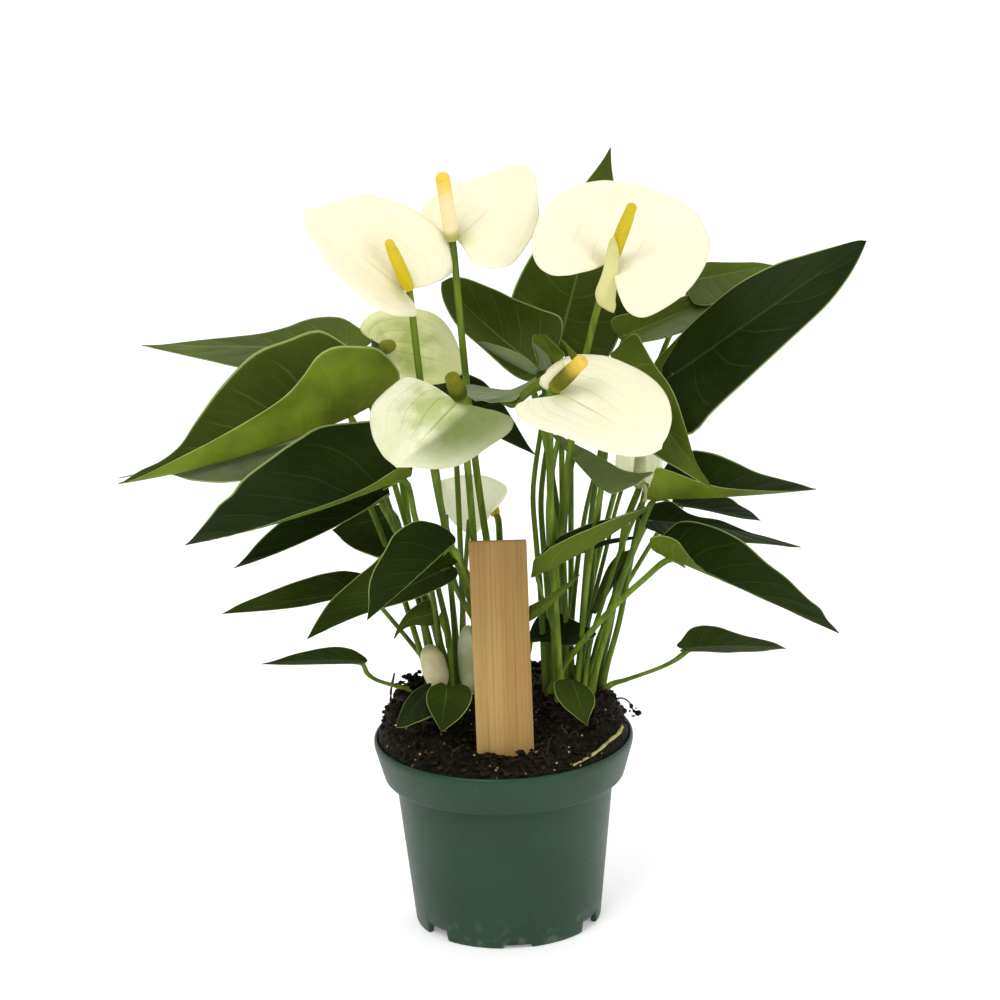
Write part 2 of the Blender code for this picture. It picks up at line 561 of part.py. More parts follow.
def lay_stems():
    """Every stem's path, from its root up to its blade or spathe, and the buds' paths."""
    roots = spread_roots()
    names = [*LEAVES, *BLOOMS, *BUDS]
    paths, radii, holds, sheets = [], [], [], []
    for name, leaf in LEAVES.items():
        blade = leaf_blade(leaf)
        point, side, up = blade.frame(np.array([JOINT]))
        paths.append(stem_path(roots[name], point[0] - up[0] * 1.2, leaf.get("start"), leaf.get("arrive")))
        radii.append(PETIOLE_RADIUS)
        sheets.append(blade)
    for name, bloom in BLOOMS.items():
        blade, foot, way = bloom_axis(bloom)
        paths.append(stem_path(roots[name], foot - way * STALK_NECK, bloom.get("start"),
                               bloom.get("arrive") or tuple(way + UP)))
        radii.append(STALK_RADIUS)
        sheets.append(blade)
    for name, bud in BUDS.items():
        root = np.array((*roots[name], soil_height(*roots[name])), float)
        way = unit(np.array(bud["tip"], float) - root)
        reach = np.linalg.norm(np.array(bud["tip"], float) - root)
        paths.append(root + way * np.array([-ROOT_DEPTH, *np.linspace(2, reach, STEM_STEPS)])[:, None])
        radii.append(bud["width"] / 2)
    holds = [0 if name in BUDS else HELD_STEM if name in FIXED_STEMS else 1 for name in names]
    grids = [(k, np.concatenate([blade.half_grid(sign, 20, 6)[0].reshape(-1, 3) for sign in (1, -1)]))
             for k, blade in enumerate(sheets)]
    return dict(zip(names, part_stems(paths, radii, holds, grids)))


def build_leaves(stems):
    for name, leaf in LEAVES.items():
        blade = leaf_blade(leaf)
        rows, cols = (7, 2) if leaf["width"] < 30 else (7, 3) if leaf["width"] < 42 else (8, 3)
        body = add_object(name, *blade_mesh(blade, rows, cols, BLADE_THICK), (.02, .05, .012), 0.35)
        point, side, up = blade.frame(np.array([JOINT, JOINT + 0.1]))
        stem = stems[name]
        rise = unit(stem[-1] - stem[-2])
        if rise @ unit(point[1] - point[0]) > 0.2:
            path = np.vstack([stem, point[1] - up[1] * 0.5])
        else:
            path = np.vstack([stem, stem[-1] + rise * 1.2 + up[0]])
        radii = [PETIOLE_RADIUS] * len(stem) + [1.1]
        combine(body, add_object("petiole", *tube_mesh(path, radii, 5), (.1, .2, .05)), "UNION")


def build_blooms(stems):
    for name, bloom in BLOOMS.items():
        blade, foot, way = bloom_axis(bloom)
        add_object("spathe_" + name, *blade_mesh(blade, 10, 3, BLADE_THICK), (.9, .88, .7), 0.45)
        hidden = name in HIDDEN_SPIKES
        path = np.vstack([stems[name], foot + way * (1 if hidden else -GAP)])
        stalk = add_object("stalk_" + name, *tube_mesh(path, [STALK_RADIUS] * len(path), 6), (.1, .2, .03))
        steps = np.linspace(0, 1, len(SPIKE_SWELL))[:, None]
        spike = foot + (np.array(bloom["spike"], float) - foot) * steps
        radii = [SPADIX_RADIUS * s for s in SPIKE_SWELL]
        spadix = add_object("spadix_" + name, *tube_mesh(spike, radii, 10, 0.05), (.6, .45, .03))
        if hidden:
            combine(stalk, spadix, "UNION")


def build_buds(stems):
    """Young rolled blooms, a plump pointed roll on a short stalk."""
    for name, bud in BUDS.items():
        start, end = stems[name][1], stems[name][-1]
        places = np.array([place for place, swell in BUD_SWELL])[:, None]
        path = np.vstack([stems[name][0], start + (end - start) * places])
        radii = [BUD_STALK] + [max(bud["width"] / 2 * swell, BUD_STALK if place < .2 else .3)
                               for place, swell in BUD_SWELL]
        add_object(name, *tube_mesh(path, radii, 8), (.8, .8, .6))


def main():
    for old in list(bpy.data.objects):
        bpy.data.objects.remove(old)
    build_pot()
    stems = lay_stems()
    build_leaves(stems)
    build_blooms(stems)
    build_buds(stems)
    thick = {name: STALK_RADIUS if name in BLOOMS else BUD_STALK if name in BUDS else PETIOLE_RADIUS
             for name in stems}
    build_soil([(stems[name], thick[name]) for name in stems])
    build_stake()


main()
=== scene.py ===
"""Potted anthurium, dressed: grower's pot, root ball, wooden stake, leaves and blooms.

Sizes and places are millimetres, and MM turns them into metres. +X is right, +Y is away
from the front and +Z is up. Only the small sheets and thin stems are given as pixels of the
photograph, and margins as parts of a blade's length and half width. The stems keep clear of
each other like the solids, but of each sheet only of the part that is by its joint.
"""
import math
import random

import bmesh
import bpy
import numpy as np
from bpy.props import FloatProperty, FloatVectorProperty, IntProperty, PointerProperty
from mathutils import Matrix, Vector, noise


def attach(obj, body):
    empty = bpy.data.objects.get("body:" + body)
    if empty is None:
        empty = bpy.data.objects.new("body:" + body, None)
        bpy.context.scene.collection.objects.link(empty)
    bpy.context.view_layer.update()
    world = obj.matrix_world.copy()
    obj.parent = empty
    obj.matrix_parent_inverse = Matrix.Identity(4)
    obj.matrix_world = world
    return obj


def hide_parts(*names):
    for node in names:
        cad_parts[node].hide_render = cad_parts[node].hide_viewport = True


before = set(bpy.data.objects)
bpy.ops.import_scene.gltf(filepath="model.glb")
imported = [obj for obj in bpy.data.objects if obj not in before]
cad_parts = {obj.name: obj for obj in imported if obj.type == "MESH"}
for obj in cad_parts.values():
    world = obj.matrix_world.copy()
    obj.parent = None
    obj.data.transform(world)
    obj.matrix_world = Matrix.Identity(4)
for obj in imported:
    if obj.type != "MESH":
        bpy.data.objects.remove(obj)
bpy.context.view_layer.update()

bl_info = {
    "name": "Potted anthurium",
    "version": (1, 0, 0),
    "blender": (4, 5, 0),
    "location": "View3D > Sidebar > Anthurium",
    "description": "Dresses the solids of a potted anthurium: pot, soil, stake, leaves and blooms",
    "category": "Object",
}

MM = 0.001

# Pot
POT_HEIGHT = 90.0
RIM_RADIUS = 60.0
RIM_BAND = 19.0
RIM_TAPER = 4.4
BODY_TOP_RADIUS = 50.4
BASE_RADIUS = 43.3
WALL = 1.2
FLOOR_UNDER = 5.6
FLOOR_THICK = 1.4
FOOT_WIDTH = 2.4
DEEP_NOTCH_TURNS = (-50.0, 60.0, 185.0)
SHALLOW_NOTCH_TURNS = (5.0, 122.0, 247.0)
NOTCH_WIDTH = 13.0
SHALLOW_NOTCH_HEIGHT = 1.8

# Soil
SOIL_EDGE_Z = 88.0
SOIL_FRONT_LIFT = 6.5
SOIL_FRONT_END = 46.0
SOIL_BACK_LIFT = 21.0
SOIL_BED = 72.0
SOIL_REACH = RIM_RADIUS - 1.5
PEAT_REACH = RIM_RADIUS - 2.0
ROOT_DEPTH = 12.0

# Stake
STAKE_WIDTH = 26.0
STAKE_THICK = 2.0
STAKE_TOP = 196.0
STAKE_BOTTOM = 72.0
STAKE_X = 0.8
STAKE_Y = -38.0
STAKE_LEAN = 0.5
STAKE_EDGE = 0.35

# Stems: how far they lean out at the foot and at the top, and how hard each end pulls the curve
START_LEAN = 0.25
ARRIVE_LEAN = 0.8
FOOT_UPRIGHT = 0.8
FOOT_RISE = 3.0
START_PULL = 0.35
ARRIVE_PULL = 0.3
PETIOLE_RADIUS = 1.5
PETIOLE_SEAT = 1.2
LEFT_CLUMP = (-20.0, 8.0)
RIGHT_CLUMP = (33.0, 8.0)
CLUMP_SPREAD = 0.14
ROOT_SPACING = 5.8
ROOT_ROUNDS = 200
ROOT_PUSH = 0.4
STALK_RADIUS = 1.7
SPADIX_RADIUS = 2.7
SPIKE_SWELL = (.8, .97, 1, 1, .98, .95, .88, .72, .35)
STEM_STEPS = 6
STEM_GAP = 0.7
STEM_ROUNDS = 200
STEM_PUSH = 0.5
STEM_SMOOTH = 0.02
SHEET_GAP = 3.0
SHEET_WATCH = 20.0
SHEET_WATCH_GRID = (20, 6)
STALK_NECK = 3.0
SPATHE_SEAT = 1.8
SPATHE_SEAT_LIFT = 2.0
JOINT = 0.03
HELD_STEM = 0.15
BUD_STALK = 1.2
HIDDEN_SPIKES = ("g",)
BEHIND = {"a": 4.2}
FIXED_STEMS = ("a", "b", "c", "leaf_13", "leaf_14", "leaf_10")
UP = np.array((0.0, 0.0, 1.0))

# Half outlines, from the joint with the stem round to the tip: along the midrib, and across
LEAF_EDGE = ((0, 0), (-.045, .17), (-.085, .46), (-.06, .78), (.05, .97), (.20, 1), (.40, .85),
             (.60, .58), (.78, .30), (.91, .10), (1, 0))
SPATHE_EDGE = ((0, 0), (-.05, .12), (-.13, .32), (-.20, .58), (-.13, .86), (.08, 1.0), (.34, .97),
               (.60, .78), (.81, .47), (.94, .19), (1, 0))

# Each leaf: joint with the petiole, tip, width, the way its upper face looks, and shape.
# fold lifts the half on the left and the half on the right, seen from joint to tip.
LEAVES = {
    "leaf_01": dict(base=(-61, 52, 262), tip=(-160, 32, 272), width=50, fold=(-18, 26), taper=.6, lobe=.6),
    "leaf_02": dict(base=(-62, 8, 244), tip=(-168, -35, 227), width=84, fold=(66, 60), arch=-8,
                    lobe=2.4, fade=.15, taper=.15),
    "leaf_03": dict(base=(-68, 10, 234), tip=(-169, -20, 225), width=50, fold=(-25, -10)),
    "leaf_04": dict(base=(-38, -22, 223), tip=(-135, -95, 217), width=70, fold=(28, 44), arch=-6, fade=.3,
                    arrive=(-.3, -.8, .6)),
    "leaf_05": dict(base=(-49, 0, 202), tip=(-117, -60, 194), width=42, fold=(22, 42), arch=3),
    "leaf_06": dict(base=(-65, 12, 161), tip=(-127, -12, 156), width=27, fold=(-10, 8), arch=1, lobe=.5),
    "leaf_07": dict(base=(-22, -16, 178), tip=(-86, -60, 160), width=44, fold=(20, 42), lobe=.5),
    "leaf_08": dict(base=(-23, -36, 200), tip=(-58, -85, 177), width=46, fold=(36, 34), arch=4, lobe=.2,
                    root=(-6, -16), start=(.1, 0, 1), arrive=(-1, -.4, .15)),
    "leaf_09": dict(base=(-51, 24, 186), tip=(-68, 18, 173), width=36, face=(0, -.6, 1), lobe=.5),
    "leaf_10": dict(base=(-64, -5, 127), tip=(-107, -25, 136), width=22, fold=(20, 26), arch=3, lobe=.4,
                    root=(-40, 2), start=(-1, 0, .5), arrive=(-.2, -.1, 1)),
    "leaf_11": dict(base=(-25, -30, 124), tip=(-28, -52, 111), width=21, face=(0, -.8, 1), lobe=1.0,
                    root=(-30, -6)),
    "leaf_12": dict(base=(32, -25, 124), tip=(38, -50, 111), width=22, face=(-.2, -.8, 1), root=(30, -8)),
    "leaf_13": dict(base=(84, -10, 132), tip=(129, -30, 138), width=24, fold=(32, 18), arch=2, lobe=.4,
                    root=(47, 4), start=(1, -.1, .5), arrive=(.7, -.2, .8)),
    "leaf_14": dict(base=(74, -35, 186), tip=(148, -90, 166), width=48, fold=(34, 44), arch=11, fade=.6,
                    lobe=.4,
                    root=(22, -2), start=(.5, -.2, 1), arrive=(1, -.4, .9)),
    "leaf_15": dict(base=(68, -20, 208), tip=(142, -45, 218), width=46, fold=(44, 52), arch=3, lobe=.4),
    "leaf_16": dict(base=(81, 22, 192), tip=(121, 14, 185), width=28, fold=(30, 15)),
    "leaf_17": dict(base=(66, 3, 190), tip=(137, -18, 182), width=40, fold=(36, 15), arch=5),
    "leaf_18": dict(base=(83, 22, 243), tip=(171, 25, 313), width=53, face=(-.5, -1, .6), fold=14),
    "leaf_19": dict(base=(66, 80, 262), tip=(131, 98, 286), width=34, fold=(42, 15)),
    "leaf_20": dict(base=(59, 46, 265), tip=(104, 70, 276), width=38, face=(0, -.3, 1), fold=(42, 25),
                    lobe=.4),
    "leaf_21": dict(base=(55, 4, 265), tip=(95, -55, 223), width=35, face=(.2, -.8, 1), fold=(42, 15),
                    lobe=1.8),
    "leaf_22": dict(base=(24, 15, 258), tip=(-22, 35, 297), width=50, face=(0, -.5, 1), fold=(30, 34),
                    arch=-5),
    "leaf_23": dict(base=(31, 64, 257), tip=(59, 98, 342), width=54, face=(0, -1, .7)),
    "leaf_24": dict(base=(22, -10, 266), tip=(-15, -18, 260), width=34, fold=(50, 50), arch=-5, lobe=3.2),
    "leaf_25": dict(base=(-19, 18, 247), tip=(19, 5, 222), width=34, fold=(38, 8)),
    "leaf_26": dict(base=(48, -30, 216), tip=(26, 5, 232), width=30, face=(0, .3, 1)),
    "leaf_27": dict(base=(17, -26, 176), tip=(72, -26, 205), width=15, fold=(35, 35), arch=8),
    "leaf_28": dict(base=(13, 0, 135), tip=(44, -5, 139), width=24, face=(0, -.5, 1), root=(9, 0)),
    "leaf_29": dict(base=(-30, 55, 235), tip=(-58, 98, 255), width=40),
    "leaf_30": dict(base=(35, 58, 225), tip=(58, 98, 235), width=40),
    "leaf_31": dict(base=(-33, -22, 121), tip=(-48, -50, 113), width=19, face=(0, -.6, 1), root=(-37, -12)),
}

BLOOMS = {
    "a": dict(base=(-39, -22, 309), tip=(-80, -44, 352), width=62, face=(.24, -.78, .58), fold=(40, 14),
              spike=(-44, -36, 335), root=(-14, 2), arrive=(-.02, 0, 1), lobe=1.0, seat=2.9),
    "b": dict(base=(-14, -2, 326), tip=(23, 34, 351), width=52, face=(0, -1, 1),
              spike=(-20, -12, 361), root=(6, 10)),
    "c": dict(base=(54, -15, 317), tip=(68, 45, 338), width=86, face=(.15, -1, 1), fold=(18, 8), lobe=2.7,
              spike=(64, -22, 345), root=(20, 14), arrive=(.4, 0, 1)),
    "d": dict(base=(-46, 34, 266), tip=(-11, 34, 256), width=48, face=(0, -1, .35), lobe=2.2,
              spike=(-46, 12, 274), root=(-28, 14)),
    "e": dict(base=(-16, -45, 263), tip=(-43, -75, 243), width=60, face=(.1, -.7, 1), fold=(5, -18), lobe=.9,
              spike=(-18, -56, 278), root=(-8, -8), seat=.4),
    "f": dict(base=(30, -40, 264), tip=(73, -62, 244), width=63, face=(0, -.8, 1), fold=(-8, 26), lobe=1.3,
              spike=(40, -52, 283), root=(28, -4)),
    "g": dict(base=(-3, 50, 181), tip=(-26, 45, 199), width=30, face=(0, 1, 0), lobe=.2,
              spike=(-8, 60, 196), root=(0, 30)),
    "h": dict(base=(65, 5, 210), tip=(67, 15, 242), width=22, face=(0, -1, 0), lobe=.4,
              spike=(66, -6, 228), root=(44, 14)),
}

BUDS = {
    "bud_1": dict(root=(-37, -4), tip=(-35, -8, 133), width=10.5),
    "bud_2": dict(root=(-17, 0), tip=(-19, -2, 142), width=9),
    "bud_3": dict(root=(44, 22), tip=(45, 22, 119), width=8),
}

WELD = 0.002

# What dresses the solids: rows and columns of a half sheet, how softly it folds, its rib and its waves.
# QUILT and WAVE hold for a leaf whose half width is FULL_HALF.
LEAF_GRID = (60, 16)
LEAF_SOFT = 0.05
LEAF_RIB = 0.5
LEAF_VEINS = 9
VEIN_ARCH = 0.07
BLOOM_GRID = (84, 28)
BLOOM_SOFT = 0.14
BLOOM_RIB = 0.3
BLOOM_WAVE = 0.5
BLOOM_CURL = 1.0
BLOOM_SEED = 40
SPATHE_VEINS = 4
QUILT = 0.35
QUILTED = {"leaf_02": 2.6, "leaf_22": 1.5, "leaf_23": 1.5}
WAVE = 0.8
EDGE_WAVES = (2.3, 4.1, 7.3)
FULL_HALF = 25.0
RIB_EASE = 2.4
RIB_SPREAD = 1.4
UNDER_RUN = 0.1
SEAM_WAY = (0.3, 1.0, 0.1)
FLORETS_ROUND = 14
FLORETS_ALONG = 17
FLORET_RISE = 0.35

# The upper face and the underside of each leaf; the rest are deep above and mid green below
LEAF_FACES = {
    "leaf_01": ("lit", "fresh"), "leaf_02": ("mid", "bright"), "leaf_03": ("sheen_silver", "sheen_silver"),
    "leaf_04": ("deep", "fresh"), "leaf_05": ("deep", "fresh"), "leaf_06": ("low", "lit"),
    "leaf_07": ("low", "lit"), "leaf_08": ("deep", "fresh"), "leaf_09": ("low", "low"),
    "leaf_10": ("low", "mid"),
    "leaf_11": ("low", "under"), "leaf_12": ("low", "under"), "leaf_13": ("low", "under"),
    "leaf_14": ("deep", "fresh"), "leaf_15": ("deep", "bright"), "leaf_19": ("lit", "lit"),
    "leaf_20": ("lit", "lit"), "leaf_21": ("lit", "lit"), "leaf_22": ("mid", "mid"),
    "leaf_23": ("mid", "mid"),
    "leaf_24": ("sheen_silver", "sheen_silver"), "leaf_26": ("soft", "soft"), "leaf_27": ("deep", "lit"),
    "leaf_31": ("deep", "under"),
}
# The pale and olive spathes also give off a painted glow, standing in for light from behind.
BLOOM_FACES = {"d": ("olive", "olive"), "e": ("green", "green"), "f": ("veined", "shade"),
               "g": ("pale", "pale"), "h": ("pale", "pale")}

# Outlines of the blooms that are not alike on both sides: the left half, then the right one
BLOOM_MARGINS = {
    "a": (((0, 0), (-.09, .04), (-.17, .12), (-.17, .3), (-.04, .57), (.1, .79), (.25, .86), (.45, .77),
           (.68, .59),
           (.88, .29), (.95, .14), (1, 0)),
          ((0, 0), (-.13, .22), (-.21, .4), (-.28, .61), (-.29, .78), (-.25, .95), (-.17, 1.04), (-.05, 1.07),
           (.22, 1.07), (.45, .93), (.62, .79), (.72, .59), (.86, .26), (1, 0))),
    "b": (((0, 0), (-.05, .17), (-.09, .46), (-.04, .75), (.06, .87), (.2, .86), (.35, .82), (.51, .64),
           (.65, .49),
           (.78, .4), (.88, .26), (.93, .1), (.92, 0)),
          ((0, 0), (0, .07), (-.03, .23), (-.11, .58), (-.08, .9), (.06, 1.12), (.36, .99), (.59, .76),
           (.67, .61),
           (.79, .37), (.9, .14), (.92, 0))),
    "c": (((0, 0), (-.12, .13), (-.24, .27), (-.36, .41), (-.44, .56), (-.43, .71), (-.33, .82), (-.17, .88),
           (.15, .87), (.43, .78), (.68, .63), (.85, .44), (.94, .28), (1, 0)),
          ((0, 0), (-.13, .07), (-.25, .13), (-.37, .2), (-.51, .31), (-.56, .46), (-.49, .59), (-.29, .77),
           (-.07, .89), (.2, .95), (.45, .94), (.65, .83), (.84, .67), (.96, .42), (1, .15), (1, 0))),
    "d": (((0, 0), (-.2, .08), (-.38, .16), (-.45, .28), (-.42, .45), (-.31, .64), (-.1, .79),
           (.23, .89), (.48, .83),
           (.68, .61), (.84, .3), (.93, .12), (1, 0)),
          ((0, 0), (-.05, .2), (.05, .42), (.25, .55), (.5, .52), (.75, .38), (.92, .2), (1, 0))),
    "e": (((0, 0), (-.05, .22), (-.1, .45), (-.15, .66), (-.16, .82), (-.1, .91), (.02, .94), (.23, .87),
           (.43, .8),
           (.63, .68), (.79, .44), (.87, .22), (.95, .08), (1, 0)),
          ((0, 0), (-.02, .25), (-.07, .5), (-.1, .8), (-.07, 1.06), (.1, 1.13), (.27, 1.14),
           (.44, 1.09), (.61, .93),
           (.8, .65), (.93, .34), (.98, .12), (1, 0))),
    "f": (((0, 0), (-.1, .05), (-.2, .12), (-.24, .25), (-.22, .48), (-.17, .68), (-.07, .85),
           (.09, .99), (.31, 1.04),
           (.48, 1.02), (.64, .94), (.79, .77), (.9, .54), (.96, .28), (.98, .09), (1, 0)),
          ((0, 0), (-.07, .2), (-.14, .38), (-.2, .59), (-.19, .78), (-.08, .94), (.1, .92), (.24, .8),
           (.42, .68),
           (.64, .56), (.84, .37), (.95, .17), (1, 0))),
}

